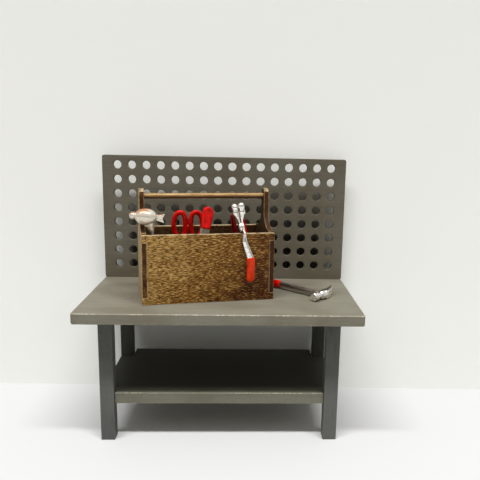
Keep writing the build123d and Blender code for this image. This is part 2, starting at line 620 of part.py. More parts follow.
# The hammer on the bench lies on its side beside the box, its grip by the box's back corner.
BENCH_HAMMER_ANGLE = radians(BENCH_HAMMER_TURN)
BENCH_HAMMER_PLACE = Location(Plane(
    origin=(BOX_WIDTH + BENCH_HAMMER_BESIDE, BOX_DEPTH - BENCH_HAMMER_FROM_BACK,
            max(POLL_RADIUS, CHEEK_RADIUS, HAMMER_GRIP_RADIUS) + SEAT_GAP),
    x_dir=(sin(BENCH_HAMMER_ANGLE), cos(BENCH_HAMMER_ANGLE), 0),
    z_dir=(cos(BENCH_HAMMER_ANGLE), -sin(BENCH_HAMMER_ANGLE), 0),
))


def make_bench():
    pieces = {"bench_top": make_top(), "shelf": make_shelf(), "pegboard": make_pegboard()}
    for name, centre in LEGS.items():
        pieces[name] = make_leg(centre)
    pieces["leg_dowels"] = Compound([leg_dowel(centre, 0) for centre in LEGS.values()])
    pieces["shelf_pins"] = Compound([shelf_pin(centre, 0) for centre in LEGS.values()])
    pieces["pegboard_pins"] = Compound([board_pin(x, 0) for x in BOARD_PIN_XS])
    return pieces


def make_all():
    on_box = make_toolbox()
    on_box |= make_pliers("rim_pliers", "inner", "outer", RIM_SPREAD, RIM_PLIERS_PLACE)
    on_box |= make_pliers("box_pliers", "right", "left", BOX_SPREAD, BOX_PLIERS_PLACE)
    on_box |= make_snips(SNIPS_PLACE)
    on_box |= make_chisel(CHISEL_PLACE)
    shaft = hammer_shaft(BOX_SHAFT_RADIUS, BOX_SHAFT_LENGTH)
    on_box |= make_hammer("box_hammer", box_hammer_head(), shaft, BOX_SHAFT_LENGTH, BOX_HAMMER_PLACE)
    shaft = hammer_shaft(BENCH_SHAFT_RADIUS, BENCH_SHAFT_LENGTH)
    on_box |= make_hammer("bench_hammer", bench_hammer_head(), shaft, BENCH_SHAFT_LENGTH, BENCH_HAMMER_PLACE)
    return make_bench() | {name: BOX_PLACE * piece for name, piece in on_box.items()}


os.makedirs("parts", exist_ok=True)
for name, piece in make_all().items():
    export_step(piece, f"parts/{name}.step")
pivots = {"snips": SNIPS_PLACE, "rim_pliers": RIM_PLIERS_PLACE, "box_pliers": BOX_PLIERS_PLACE}
for name, place in pivots.items():
    pivot = BOX_PLACE * place
    axis = Plane(pivot).y_dir
    print(name, "pivot", pivot.position, "axis", axis)
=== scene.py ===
# %% [markdown]
# # A toy workbench with its toolbox and hand tools
# The real thing is a one-twelfth scale toy: a painted wooden bench with a pegboard back, a stained
# plywood toolbox and a handful of cast metal tools with red dipped handles. The solid model already
# fixes every place and every size, so this lesson only gives each piece its visible shape and finish.
# The model is loaded first.

# %% Load the fixed frame
import json
from math import atan2, cos, pi, radians, sin

import bmesh
import bpy
from mathutils import Matrix, Vector, noise


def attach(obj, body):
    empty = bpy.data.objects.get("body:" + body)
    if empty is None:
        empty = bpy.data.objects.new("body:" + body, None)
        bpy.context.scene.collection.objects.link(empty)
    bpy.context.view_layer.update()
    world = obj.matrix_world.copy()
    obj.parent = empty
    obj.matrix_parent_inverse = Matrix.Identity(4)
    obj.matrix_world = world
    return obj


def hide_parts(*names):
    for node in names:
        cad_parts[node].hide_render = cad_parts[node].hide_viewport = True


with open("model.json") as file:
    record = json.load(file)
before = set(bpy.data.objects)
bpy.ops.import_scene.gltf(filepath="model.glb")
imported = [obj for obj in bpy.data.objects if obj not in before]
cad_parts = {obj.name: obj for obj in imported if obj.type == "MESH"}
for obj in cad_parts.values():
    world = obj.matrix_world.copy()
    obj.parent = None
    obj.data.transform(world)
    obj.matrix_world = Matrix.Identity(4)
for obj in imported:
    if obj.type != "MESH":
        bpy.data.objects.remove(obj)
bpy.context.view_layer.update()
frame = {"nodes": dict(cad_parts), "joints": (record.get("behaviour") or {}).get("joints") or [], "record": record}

MM = 0.001  # pieces are drawn in millimetres and the frame is in metres

# %% [markdown]
# Most pieces stand square to the bench, but the toolbox is turned on it and the tools lean in the box.
# A piece is easiest to draw in its own upright millimetres and to set in place with one matrix. The
# axes of that matrix come from the frame's joints and the origin from the boxes of its nodes, measured
# along the same axes, so nothing has to be fitted by eye.

# %% Axes, boxes and places
JOINTS = {joint["name"]: joint for joint in frame["joints"]}
BODIES = frame["record"]["behaviour"]["bodies"]
BODY_OF = {node: body for body, nodes in BODIES.items() for node in nodes}
UP = Vector((0, 0, 1))


def axes(x, y, z):
    """Rotation whose columns are three directions."""
    return Matrix((x, y, z)).transposed()


def node_box(rotation, *nodes):
    """Lowest and highest corner of some nodes, in mm, measured along a rotation's axes."""
    to_own = rotation.transposed()
    points = [to_own @ v.co / MM for node in nodes for v in frame["nodes"][node].data.vertices]
    low = Vector([min(p[k] for p in points) for k in range(3)])
    high = Vector([max(p[k] for p in points) for k in range(3)])
    return low, high


def place(rotation, origin):
    """Matrix from a piece's own millimetres to the frame's metres."""
    return Matrix.Scale(MM, 4) @ Matrix.Translation(rotation @ origin) @ rotation.to_4x4()


def standing(rotation, node):
    """Place of a tool whose lower end, in the middle of a node's foot, is its own origin."""
    low, high = node_box(rotation, node)
    return place(rotation, Vector(((low.x + high.x) / 2, (low.y + high.y) / 2, low.z)))


def hinged(rotation, joint):
    """Place of a tool whose rivet is its own origin."""
    return place(rotation, rotation.transposed() @ Vector(JOINTS[joint]["pos_m"]) / MM)


SQUARE = Matrix.Identity(3)
BENCH_PLACE = place(SQUARE, Vector((0, 0, 0)))
box_depth_way = -Vector(JOINTS["snips_pivot"]["axis"])
box_width_way = Vector((box_depth_way.y, -box_depth_way.x, 0))
BOX_AXES = axes(box_width_way, box_depth_way, UP)
box_low, box_high = node_box(BOX_AXES, "box_front", "box_back", "box_left_end", "box_right_end")
BOX_PLACE = place(BOX_AXES, box_low)
BOX_TURN = atan2(box_width_way.y, box_width_way.x)
print("toolbox, mm:", [round(side, 1) for side in box_high - box_low])

# %% [markdown]
# The camera looks slightly down at the bench from just right of its middle. Its place, its tilt and the
# pixel where the lens points were worked out from the edges of the bench, the pegboard and the toolbox,
# so the render lines up with the picture. The lens axis misses the middle of the picture, which a real
# camera does when a picture is cropped, and Blender's lens shift does the same.

# %% The camera
LENS = 44.76  # mm, on a sensor 36 mm wide
IMAGE_SIDE = 480  # pixels
LENS_PIXEL = (270.9, 257.5)  # where the lens axis meets the picture
CAMERA_AT = Vector((8.7, -267.1, 132.3))  # mm
NEAREST_SEEN = 10.0  # mm from the camera
PITCH = radians(11.46)
YAW = radians(2.86)
ROLL = radians(1.33)


def new_object(name, data):
    """An object in the scene, at the origin."""
    thing = bpy.data.objects.new(name, data)
    bpy.context.scene.collection.objects.link(thing)
    return thing


looking = Vector((sin(YAW) * cos(PITCH), cos(YAW) * cos(PITCH), -sin(PITCH)))
level = Vector((cos(YAW), -sin(YAW), 0))
upward = level.cross(looking)
camera_axes = axes(
    level * cos(ROLL) + upward * sin(ROLL), upward * cos(ROLL) - level * sin(ROLL), -looking
)
camera = new_object("camera", bpy.data.cameras.new("camera"))
camera.matrix_world = Matrix.Translation(CAMERA_AT * MM) @ camera_axes.to_4x4()
camera.data.lens = LENS
camera.data.clip_start = NEAREST_SEEN * MM
camera.data.shift_x = 0.5 - LENS_PIXEL[0] / IMAGE_SIDE
camera.data.shift_y = LENS_PIXEL[1] / IMAGE_SIDE - 0.5
bpy.context.scene.camera = camera
print("camera at, mm:", list(CAMERA_AT))

# %% [markdown]
# A finish is a small net of nodes. Writing such nets out node by node is long, so this helper adds one
# node per call and hands back its socket. All noise is measured in millimetres of the toy, which keeps
# paint, grain and scratches at their real scale. A colour is written the way a screen shows it and made
# linear here.

# %% A helper for finishes
EDGE_WEAR = "edge_wear"  # face attribute: 1 on rounded edges, where hands rub the finish off
SAWN = "sawn"  # face attribute: 1 on the sawn or laser-cut edges of a board
INSIDE = "inside"  # face attribute: 1 on the faces inside the toolbox
MIX_INPUTS = (0, 6, 7)  # the mix node's share and its two colours
MIX_COLOUR = 2  # the mix node's colour output


def screen(red, green, blue):
    """A colour as seen on a screen, 0 to 255, made linear."""
    shares = [level_of / 255 for level_of in (red, green, blue)]
    linear = [s / 12.92 if s < 0.04045 else ((s + 0.055) / 1.055) ** 2.4 for s in shares]
    return (*linear, 1.0)


class Finish:
    """A material in the making. Each method adds a node and gives back the socket to read."""

    def __init__(self, name, **constants):
        self.material = bpy.data.materials.new(name)
        self.material.use_nodes = True
        self.tree = self.material.node_tree
        self.shader = self.tree.nodes["Principled BSDF"]
        self.object_place = self.tree.nodes.new("ShaderNodeTexCoord").outputs["Object"]
        self.set(**constants)

    def feed(self, socket, value):
        """Links a socket to another, or writes a plain value into it."""
        if isinstance(value, bpy.types.NodeSocket):
            self.tree.links.new(value, socket)
        else:
            socket.default_value = value

    def set(self, **inputs):
        """Sets the shader's inputs by name, with _ for a space."""
        for name, value in inputs.items():
            self.feed(self.shader.inputs[name.replace("_", " ")], value)

    def spot(self, size=(1, 1, 1), turn=0.0, origin=(0, 0, 0)):
        """Place on the toy, counted in steps of so many millimetres from an origin in metres."""
        mapping = self.tree.nodes.new("ShaderNodeMapping")
        mapping.vector_type = "TEXTURE"
        self.feed(mapping.inputs["Vector"], self.object_place)
        mapping.inputs["Location"].default_value = origin
        mapping.inputs["Rotation"].default_value = (0, 0, turn)
        mapping.inputs["Scale"].default_value = [MM * step for step in size]
        return mapping.outputs[0]

    def grain(self, size, turn=0.0, detail=3.0, roughness=0.55):
        """Noise whose blotches measure size = (x, y, z) millimetres."""
        texture = self.tree.nodes.new("ShaderNodeTexNoise")
        self.feed(texture.inputs["Vector"], self.spot(size, turn))
        texture.inputs["Scale"].default_value = 1.0
        texture.inputs["Detail"].default_value = detail
        texture.inputs["Roughness"].default_value = roughness
        return texture.outputs[0]

    def along(self, axis, turn=0.0, origin=(0, 0, 0)):
        """Millimetres from an origin along X, Y or Z of a turned piece."""
        split = self.tree.nodes.new("ShaderNodeSeparateXYZ")
        self.feed(split.inputs[0], self.spot(turn=turn, origin=origin))
        return split.outputs[axis]

    def facing(self, axis):
        """How far the surface faces along X, Y or Z, from -1 to 1."""
        split = self.tree.nodes.new("ShaderNodeSeparateXYZ")
        self.feed(split.inputs[0], self.tree.nodes.new("ShaderNodeNewGeometry").outputs["Normal"])
        return split.outputs[axis]

    def marked(self, attribute):
        """A face attribute of the piece."""
        node = self.tree.nodes.new("ShaderNodeAttribute")
        node.attribute_name = attribute
        return node.outputs["Fac"]

    def ramp(self, value, start, end, low=0.0, high=1.0):
        """Low before start, high after end, and smooth between them."""
        node = self.tree.nodes.new("ShaderNodeMapRange")
        node.interpolation_type = "SMOOTHSTEP"
        for socket, number in zip(node.inputs, (value, start, end, low, high)):
            self.feed(socket, number)
        return node.outputs[0]

    def math(self, operation, first, second=0.0):
        """One of the maths node's operations on two values."""
        node = self.tree.nodes.new("ShaderNodeMath")
        node.operation = operation
        self.feed(node.inputs[0], first)
        self.feed(node.inputs[1], second)
        return node.outputs[0]

    def plus(self, first, second):
        """Sum of two values."""
        return self.math("ADD", first, second)

    def times(self, first, second):
        """Product of two values."""
        return self.math("MULTIPLY", first, second)

    def mix(self, share, first, second):
        """First colour where share is 0, second where it is 1."""
        node = self.tree.nodes.new("ShaderNodeMix")
        node.data_type = "RGBA"
        for socket, value in zip(MIX_INPUTS, (share, first, second)):
            self.feed(node.inputs[socket], value)
        return node.outputs[MIX_COLOUR]

    def cover(self, colour, other, value, start, end, most=1.0):
        """Lays another colour over one, from not at all before start to a share of most after end."""
        return self.mix(self.ramp(value, start, end, 0.0, most), colour, other)

    def relief(self, height, depth):
        """Raises the surface by depth millimetres where height is 1."""
        node = self.tree.nodes.new("ShaderNodeBump")
        self.feed(node.inputs["Height"], height)
        node.inputs["Distance"].default_value = depth * MM
        self.feed(self.shader.inputs["Normal"], node.outputs[0])


print("finish helper ready")

# %% [markdown]
# The toy stands on a pale sheet in front of a pale wall that leans back a little and is turned a little.
# The wall is close behind the pegboard: through the upper holes it is seen in the light, and through the
# lower ones in the board's shade. The gap is wider at the left, so light gets in there. The wall shows only
# to the camera and to shiny surfaces, and only from its front, so the back of the bench can be looked at in
# full light. Only light that has bounced between the wall and the board is stopped by it, and behind the
# lower part of the board the wall's colour is darkened as painted shade, which keeps the gap behind the
# lower holes dark. The wall also has a painted glow, an emission beside and above the bench, most near the
# floor and none behind the bench and most of the board.

# %% Floor and wall
FLOOR_WHITE = (0.85, 0.85, 0.84, 1)
FLOOR_BOUNCE = (0.45, 0.45, 0.44, 1)  # the sheet is small, so less light comes back from the floor
FLOOR_SIZE = 2400.0
WALL_WHITE = (1, 1, 0.965, 1)
WALL_WIDTH = 900.0
WALL_HEIGHT = 700.0
WALL_FOOT = 34.7  # behind the middle of the bench
WALL_LEAN = radians(3.0)
WALL_TURN = radians(1.5)  # the gap is wider at the left
GLOW_LOW = 0.14  # painted glow: emission of the wall at its foot
GLOW_HIGH = 0.06
GLOW_TOP = 230.0  # mm up the wall, where the glow is least
GLOW_BESIDE = (52.0, 64.0)  # mm from the middle, from no glow to all of it
GLOW_ABOVE = (103.0, 109.0)  # mm over the floor
PAINTED_WALL_SHADE = (0.12, 0.12, 0.11, 1)  # painted shade: the wall's colour where the board keeps all light off
SHADE_BESIDE = (50.0, 47.0)  # mm from the middle, from no shade to all of it
SHADE_DOWN = (50.0, 14.0)  # mm over the board's foot, from no shade to all of it
SHADE_FOOT = (-3.0, 1.0)  # the same, where the shade begins at the foot


def mesh_object(name, bm, material):
    """An object from an editable mesh, with one material."""
    mesh = bpy.data.meshes.new(name)
    bm.to_mesh(mesh)
    bm.free()
    mesh.materials.append(material)
    return new_object(name, mesh)


def sheet_of_stage(name, width, height, matrix, material):
    """A flat sheet that belongs to the picture and not to the toy."""
    bm = bmesh.new()
    bmesh.ops.create_grid(bm, x_segments=1, y_segments=1, size=0.5)
    bmesh.ops.transform(bm, matrix=matrix @ Matrix.Diagonal((width, height, 1, 1)), verts=bm.verts)
    sheet = mesh_object(name, bm, material)


def seen_rays(tree):
    """Socket that is 1 for what the camera, a shiny surface or a clear one sees."""
    path = tree.nodes.new("ShaderNodeLightPath")
    total = path.outputs["Is Camera Ray"]
    for way in ("Is Glossy Ray", "Is Transmission Ray"):
        both = tree.nodes.new("ShaderNodeMath")
        both.operation = "MAXIMUM"
        tree.links.new(total, both.inputs[0])
        tree.links.new(path.outputs[way], both.inputs[1])
        total = both.outputs[0]
    return total


floor_paper = Finish("floor_paper", Roughness=1.0, Specular_IOR_Level=0.0)
floor_paper.set(Base_Color=floor_paper.mix(seen_rays(floor_paper.tree), FLOOR_BOUNCE, FLOOR_WHITE))
sheet_of_stage("floor", FLOOR_SIZE, FLOOR_SIZE, Matrix.Scale(MM, 4), floor_paper.material)

wall_paper = Finish("wall_paper", Roughness=1.0, Specular_IOR_Level=0.0, Emission_Color=WALL_WHITE)
aside = wall_paper.math("ABSOLUTE", wall_paper.along(0))
height = wall_paper.along(2)
# painted glow: emission on the wall beside and above the bench, none behind it, most near the floor
clear = wall_paper.math("MAXIMUM", wall_paper.ramp(aside, *GLOW_BESIDE), wall_paper.ramp(height, *GLOW_ABOVE))
glow = wall_paper.times(clear, wall_paper.ramp(height, 0.0, GLOW_TOP, GLOW_LOW, GLOW_HIGH))
board_foot = node_box(SQUARE, "pegboard")[0].z
# painted shade: the wall's colour darkens behind the lower part of the board
shade = wall_paper.ramp(aside, *SHADE_BESIDE)
for start, end in (SHADE_DOWN, SHADE_FOOT):
    shade = wall_paper.times(shade, wall_paper.ramp(height, board_foot + start, board_foot + end))
wall_rays = wall_paper.tree.nodes.new("ShaderNodeLightPath").outputs
bounces = wall_paper.plus(wall_rays["Diffuse Depth"], wall_rays["Is Shadow Ray"])
shown = wall_paper.math("MAXIMUM", seen_rays(wall_paper.tree), wall_paper.math("SUBTRACT", bounces, 1.0))
from_behind = wall_paper.tree.nodes.new("ShaderNodeNewGeometry").outputs["Backfacing"]
wall_paper.set(
    Base_Color=wall_paper.mix(shade, WALL_WHITE, PAINTED_WALL_SHADE), Emission_Strength=glow,
    Alpha=wall_paper.ramp(wall_paper.math("SUBTRACT", shown, from_behind), 0.0, 1.0),
)
wall_place = (
    Matrix.Scale(MM, 4) @ Matrix.Translation((0, WALL_FOOT, 0)) @ Matrix.Rotation(-WALL_TURN, 4, "Z")
    @ Matrix.Rotation(radians(90) - WALL_LEAN, 4, "X") @ Matrix.Translation((0, WALL_HEIGHT / 2, 0))
)
sheet_of_stage("wall", WALL_WIDTH, WALL_HEIGHT, wall_place, wall_paper.material)
print("floor and wall, mm:", FLOOR_SIZE, WALL_WIDTH, WALL_HEIGHT)

# %% [markdown]
# One long tube lamp hangs almost overhead, a little towards the camera: it is soft along the bench and crisp
# across it, so the shelf is in deep shade and no shadow falls beside the legs. A sky that is darker near the
# horizon fills the rest. Shiny surfaces see a room that is bright overhead and darker in front, which gives
# metal its contrast. The sky is one world with three backgrounds, and the kind of ray picks among them.

# %% Lamp and sky
LAMP_DISTANCE = 3.0  # metres
LAMP_WAY = Vector((-0.02, -0.36, 1.0)).normalized()
LAMP_LENGTH = 3.2  # a long tube, along the bench's width
LAMP_DEPTH = 0.25
LAMP_STRENGTH = 9.6  # watts for a lamp one metre away
LAMP_WATTS = LAMP_STRENGTH * LAMP_DISTANCE**2
SKY_COLOUR = (1, 0.99, 0.965, 1)
SKY_LOW = 0.1  # light from the horizon
SKY_HIGH = 0.42  # light from overhead
SKY_SEEN = 0.85  # what the camera sees past the floor and the wall
ROOM_SEEN = 0.3  # what shiny surfaces see of the room in front, up to SKY_SEEN overhead
SKY_RISE_FROM = 0.1  # height on the sky's ball, where it starts to brighten
SKY_RISE_TO = 0.75


def picked(tree, share, first, second):
    """First shader where share is 0, second where it is 1."""
    node = tree.nodes.new("ShaderNodeMixShader")
    for socket, source in zip(node.inputs, (share, first.outputs[0], second.outputs[0])):
        tree.links.new(source, socket)
    return node


lamp = new_object("lamp", bpy.data.lights.new("lamp", "AREA"))
lamp.data.shape = "RECTANGLE"
lamp.data.size = LAMP_LENGTH
lamp.data.size_y = LAMP_DEPTH
lamp.data.energy = LAMP_WATTS
lamp.matrix_world = (
    Matrix.Translation(LAMP_WAY * LAMP_DISTANCE) @ LAMP_WAY.to_track_quat("Z", "Y").to_matrix().to_4x4()
)

sky = bpy.data.worlds.new("sky")
sky.use_nodes = True
sky_tree = sky.node_tree
sky_light = sky_tree.nodes["Background"]
sky_shown = sky_tree.nodes.new("ShaderNodeBackground")
sky_room = sky_tree.nodes.new("ShaderNodeBackground")
for background in (sky_light, sky_shown, sky_room):
    background.inputs["Color"].default_value = SKY_COLOUR
sky_shown.inputs["Strength"].default_value = SKY_SEEN
sky_way = sky_tree.nodes.new("ShaderNodeSeparateXYZ")
sky_tree.links.new(sky_tree.nodes.new("ShaderNodeTexCoord").outputs["Generated"], sky_way.inputs[0])
for background, low, high in ((sky_light, SKY_LOW, SKY_HIGH), (sky_room, ROOM_SEEN, SKY_SEEN)):
    sky_height = sky_tree.nodes.new("ShaderNodeMapRange")
    sky_height.interpolation_type = "SMOOTHSTEP"
    sky_tree.links.new(sky_way.outputs[2], sky_height.inputs[0])
    for socket, number in enumerate((SKY_RISE_FROM, SKY_RISE_TO, low, high), start=1):
        sky_height.inputs[socket].default_value = number
    sky_tree.links.new(sky_height.outputs[0], background.inputs["Strength"])
shiny_rays = sky_tree.nodes.new("ShaderNodeLightPath").outputs["Is Glossy Ray"]
sky_seen = picked(sky_tree, shiny_rays, sky_shown, sky_room)
whole_sky = picked(sky_tree, seen_rays(sky_tree), sky_light, sky_seen)
sky_tree.links.new(whole_sky.outputs[0], sky_tree.nodes["World Output"].inputs["Surface"])
bpy.context.scene.world = sky
bpy.context.scene.view_settings.view_transform = "Standard"
print("lamp watts:", round(LAMP_WATTS, 2))

# %% [markdown]
# Bench paint is a warm grey, brushed on thin over wood, so faint streaks follow the grain and the tone
# drifts across the board. Along the edges it is chipped to the pale wood, in a broken line. A flat colour
# would look like plastic. Here slow clouds, stretched streaks and fine specks are mixed, and the chips are
# the rounded-edge faces with a noise that lets only part of them through. The shelf's upper face is
# darkened from its front edge back, as painted shade under the bench top, and the back legs are painted
# darker than the front ones, as painted shade.

# %% Bench paint, leg paint and board paint
PAINTED_SHADE_FADE = 9.0  # mm over which the painted shade goes from none to dark
PAINTED_SHADE_MOST = 0.85
RUBBED_EDGE = 0.3  # share of bare wood that shows all along an edge
PAINT_DEPTH = 0.05
ALONG_X = (16, 0.7, 0.5)  # mm of a streak along each axis
ALONG_Z = (0.5, 0.5, 12)
LESS_CHIPPED = 0.5  # the legs and the pegboard are chipped half as much as the bench top


def painted_wood(name, dark, light, streak, chip, streak_size, chipped=1.0, gloss=0.2, painted_shade=None):
    """Thin matt paint on wood: clouds from dark to light, streaks, specks and chipped edges.

    Painted shade is a colour and the place, in mm along Y, from where it darkens the faces that look up.
    """
    paint = Finish(name, Specular_IOR_Level=gloss)
    clouds = paint.grain((30, 24, 30), detail=4.0)
    colour = paint.cover(dark, light, clouds, 0.36, 0.64)
    streaks = paint.grain(streak_size, detail=4.0, roughness=0.6)
    colour = paint.cover(colour, streak, streaks, 0.5, 0.72, most=0.45)
    specks = paint.grain((0.6, 0.6, 0.45), detail=3.0)
    colour = paint.cover(colour, streak, specks, 0.54, 0.7, most=0.5)
    # painted shade: faces that look up are darkened from a place along Y backwards
    if painted_shade:
        painted_shade_colour, painted_shade_from = painted_shade
        depth = paint.ramp(paint.along(1), painted_shade_from, painted_shade_from + PAINTED_SHADE_FADE, 0.0, PAINTED_SHADE_MOST)
        colour = paint.mix(paint.times(paint.ramp(paint.facing(2), 0.8, 0.98), depth), colour, painted_shade_colour)
    patches = paint.ramp(paint.grain((9, 9, 9), detail=2.0), 0.42, 0.58)
    crumbs = paint.ramp(paint.grain((1.1, 0.8, 0.8), detail=3.0), 0.42, 0.56)
    chips = paint.times(paint.times(patches, crumbs), paint.marked(EDGE_WEAR))
    rubbed = paint.times(paint.marked(EDGE_WEAR), RUBBED_EDGE * chipped)
    colour = paint.mix(paint.math("MAXIMUM", paint.times(chips, chipped), rubbed), colour, chip)
    paint.set(Base_Color=colour, Roughness=paint.ramp(clouds, 0.3, 0.7, 0.5, 0.66))
    height = paint.math("SUBTRACT", paint.times(streaks, 0.6), chips)
    paint.relief(paint.plus(height, paint.times(specks, 0.5)), PAINT_DEPTH)
    return paint.material


BARE_WOOD = screen(222, 214, 190)
BENCH_PAINT = painted_wood(
    "bench_paint", screen(130, 124, 108), screen(143, 140, 125), screen(114, 107, 94), BARE_WOOD, ALONG_X
)
# the shelf's upper face is darkened from just behind its front edge, as painted shade under the bench top
SHELF_PAINT = painted_wood(
    "shelf_paint", screen(130, 128, 113), screen(142, 141, 125), screen(110, 107, 95), BARE_WOOD,
    ALONG_X, gloss=0.05, painted_shade=(screen(40, 40, 37), node_box(SQUARE, "shelf")[0].y)
)
LEG_PAINT = painted_wood(
    "leg_paint", screen(104, 105, 101), screen(116, 117, 112), screen(86, 86, 83), screen(146, 146, 138),
    ALONG_Z, LESS_CHIPPED, gloss=0.1
)
# painted shade: the leg paint made darker for the back legs, which stand in shade under the bench
SHADED_BACK_LEG_PAINT = painted_wood(
    "shaded_back_leg_paint", screen(70, 70, 66), screen(82, 82, 78), screen(54, 54, 51), screen(112, 112, 105),
    ALONG_Z, LESS_CHIPPED, gloss=0.05
)
BOARD_PAINT = painted_wood(
    "board_paint", screen(109, 103, 87), screen(118, 113, 99), screen(88, 83, 68), screen(140, 134, 116),
    (18, 3, 0.6), LESS_CHIPPED
)
painted = (BENCH_PAINT, SHELF_PAINT, LEG_PAINT, SHADED_BACK_LEG_PAINT, BOARD_PAINT)
print("painted finishes:", [paint.name for paint in painted])

# %% [markdown]
# The toolbox is laser-cut plywood under a dark oak stain. Its colour goes from golden at the upper left to
# red-brown at the lower right, in patches, with short dark and light flecks along the grain. The laser
# burnt the sawn edges, rubbing has laid the upper rims bare again, and the faces inside the box are much
# darker. The faces that look to the left are painted paler, as a painted sheen. The pattern is measured
# from the box's own corner and turned with it. The grain runs along each board, so the sides and the ends
# have a finish each.

# %% Stained plywood
BOX_ORIGIN = BOX_PLACE.to_translation()
GOLDEN = screen(190, 149, 84)
OAK_BROWN = screen(144, 99, 40)
RED_BROWN = screen(78, 37, 10)
DARK_FLECK = screen(70, 38, 9)
LIGHT_FLECK = screen(224, 184, 112)
PORE = screen(56, 28, 7)
PAINTED_LEFT_SHEEN = screen(196, 178, 138)
INSIDE_DARKER = screen(42, 22, 9)
BURNT = screen(62, 32, 14)
BARE_RIM = screen(222, 200, 160)
TONE_DROP = 0.012  # the tone per mm of height
STAIN_DEPTH = 0.12


def stained_ply(name, fleck_size, pore_size):
    """Dark oak stain with flecks and pores along the grain, burnt cuts and pale rims."""
    stain = Finish(name, Specular_IOR_Level=0.15)
    width = (box_high - box_low).x
    across = stain.math("DIVIDE", stain.along(0, BOX_TURN, BOX_ORIGIN), width)
    drop = stain.times(stain.along(2, BOX_TURN, BOX_ORIGIN), -TONE_DROP)
    drift = stain.times(stain.grain((14, 14, 9), BOX_TURN, detail=4.0), 0.5)
    patches = stain.ramp(stain.grain((5, 5, 2.5), BOX_TURN, detail=3.0), 0.3, 0.7, -0.2, 0.2)
    tone = stain.plus(stain.plus(across, drop), stain.plus(drift, patches))
    colour = stain.cover(GOLDEN, OAK_BROWN, tone, 0.05, 0.62)
    colour = stain.cover(colour, RED_BROWN, tone, 0.55, 1.12)
    flecks = stain.grain(fleck_size, BOX_TURN, detail=2.5, roughness=0.6)
    colour = stain.cover(colour, DARK_FLECK, flecks, 0.47, 0.6, most=0.85)
    light_flecks = stain.times(stain.ramp(flecks, 0.46, 0.37), stain.ramp(tone, 0.4, 1.0, 0.9, 0.4))
    colour = stain.mix(light_flecks, colour, LIGHT_FLECK)
    pores = stain.grain(pore_size, BOX_TURN, detail=2.0)
    colour = stain.cover(colour, PORE, pores, 0.56, 0.7, most=0.7)
    # painted sheen: faces that look to the left are made paler
    colour = stain.cover(colour, PAINTED_LEFT_SHEEN, stain.facing(0), -0.5, -0.9, most=0.45)
    colour = stain.mix(stain.times(stain.marked(INSIDE), 0.88), colour, INSIDE_DARKER)
    soot = stain.ramp(stain.grain((3, 3, 3), detail=3.0), 0.3, 0.7, 0.75, 1.0)
    colour = stain.mix(stain.times(stain.marked(SAWN), soot), colour, BURNT)
    rubbed = stain.ramp(stain.grain((2.4, 2.4, 2.4), detail=3.0), 0.38, 0.6, 0.25, 0.9)
    colour = stain.mix(stain.times(stain.marked(EDGE_WEAR), rubbed), colour, BARE_RIM)
    stain.set(Base_Color=colour, Roughness=stain.ramp(flecks, 0.3, 0.7, 0.42, 0.6))
    stain.relief(stain.times(stain.plus(flecks, pores), -0.5), STAIN_DEPTH)
    return stain.material


STAINED_SIDES = stained_ply("stained_sides", (1.8, 0.42, 0.4), (0.9, 0.25, 0.2))
STAINED_ENDS = stained_ply("stained_ends", (0.42, 1.8, 0.4), (0.25, 0.9, 0.2))
print("plywood finishes:", STAINED_SIDES.name, STAINED_ENDS.name)

# %% [markdown]
# The toolbox's handle and the hidden dowels are turned rods with a honey-coloured varnish. Their faces
# that look down are made much darker, partly for the dark stain left underneath and partly as painted
# shade. Long streaks run along the rod, and a clear coat over them gives the bright line on top. The rods
# lie in different directions, so the streak length is chosen for each.

# %% Honey dowel
HONEY = screen(204, 168, 106)
HONEY_STREAK = screen(160, 115, 58)
UNDERSIDE_STAIN_AND_SHADE = screen(92, 54, 22)
ROD_DIRT = screen(104, 66, 30)
ROD_END = screen(92, 58, 28)
STREAK_DEPTH = 0.05


def honey_dowel(name, streak_size, turn):
    """Varnished rod with streaks of so many millimetres along each axis."""
    rod = Finish(name, Specular_IOR_Level=0.3, Coat_Weight=0.25, Coat_Roughness=0.25)
    streaks = rod.grain(streak_size, turn, detail=4.0, roughness=0.6)
    colour = rod.cover(HONEY, HONEY_STREAK, streaks, 0.35, 0.66)
    # faces that look down are darkened, partly for stain and partly as painted shade
    colour = rod.cover(colour, UNDERSIDE_STAIN_AND_SHADE, rod.facing(2), 0.4, -0.3, most=0.95)
    colour = rod.cover(colour, ROD_DIRT, rod.grain((5, 5, 5), detail=3.0), 0.52, 0.72, most=0.6)
    colour = rod.mix(rod.times(rod.marked(SAWN), 0.8), colour, ROD_END)
    rod.set(Base_Color=colour, Roughness=rod.ramp(streaks, 0.3, 0.7, 0.38, 0.55))
    rod.relief(streaks, STREAK_DEPTH)
    return rod.material


HANDLE_WOOD = honey_dowel("handle_wood", (9, 0.5, 0.5), BOX_TURN)
DOWEL_WOOD = honey_dowel("dowel_wood", (0.5, 0.5, 6), 0.0)
print("dowel finishes:", HANDLE_WOOD.name, DOWEL_WOOD.name)

# %% [markdown]
# The tools are cast in a bright white metal and only roughly polished, so they are shiny with a soft,
# uneven gloss and tarnish in the hollows. The head in the box has a painted coppery reflection on its upper
# left, on the faces that look up, the chisel's steel is satin, and the hammer on the bench has a streaked
# shaft whose metal is painted darker, as a painted dark reflection. Metal has no colour of its own to speak
# of: it shows the pale room, so roughness and relief do most of the work. The head in the box looks more
# like metal paint, so it is given only half of metal's mirror.

# %% Cast metal and steel
def polished(name, bright, dull, rough, relief_depth, streak_size=(0.8, 0.8, 0.8), turn=0.0):
    """Cast metal with clouds of tarnish and a hand-polished, uneven gloss."""
    metal = Finish(name, Metallic=1.0)
    clouds = metal.grain(streak_size, turn, detail=4.0, roughness=0.6)
    metal.set(
        Base_Color=metal.cover(bright, dull, clouds, 0.42, 0.7),
        Roughness=metal.ramp(clouds, 0.3, 0.7, rough, rough + 0.2),
    )
    ripples = metal.grain((2.4, 2.4, 2.4), detail=2.0)
    metal.relief(metal.plus(ripples, metal.times(clouds, 0.15)), relief_depth)
    return metal


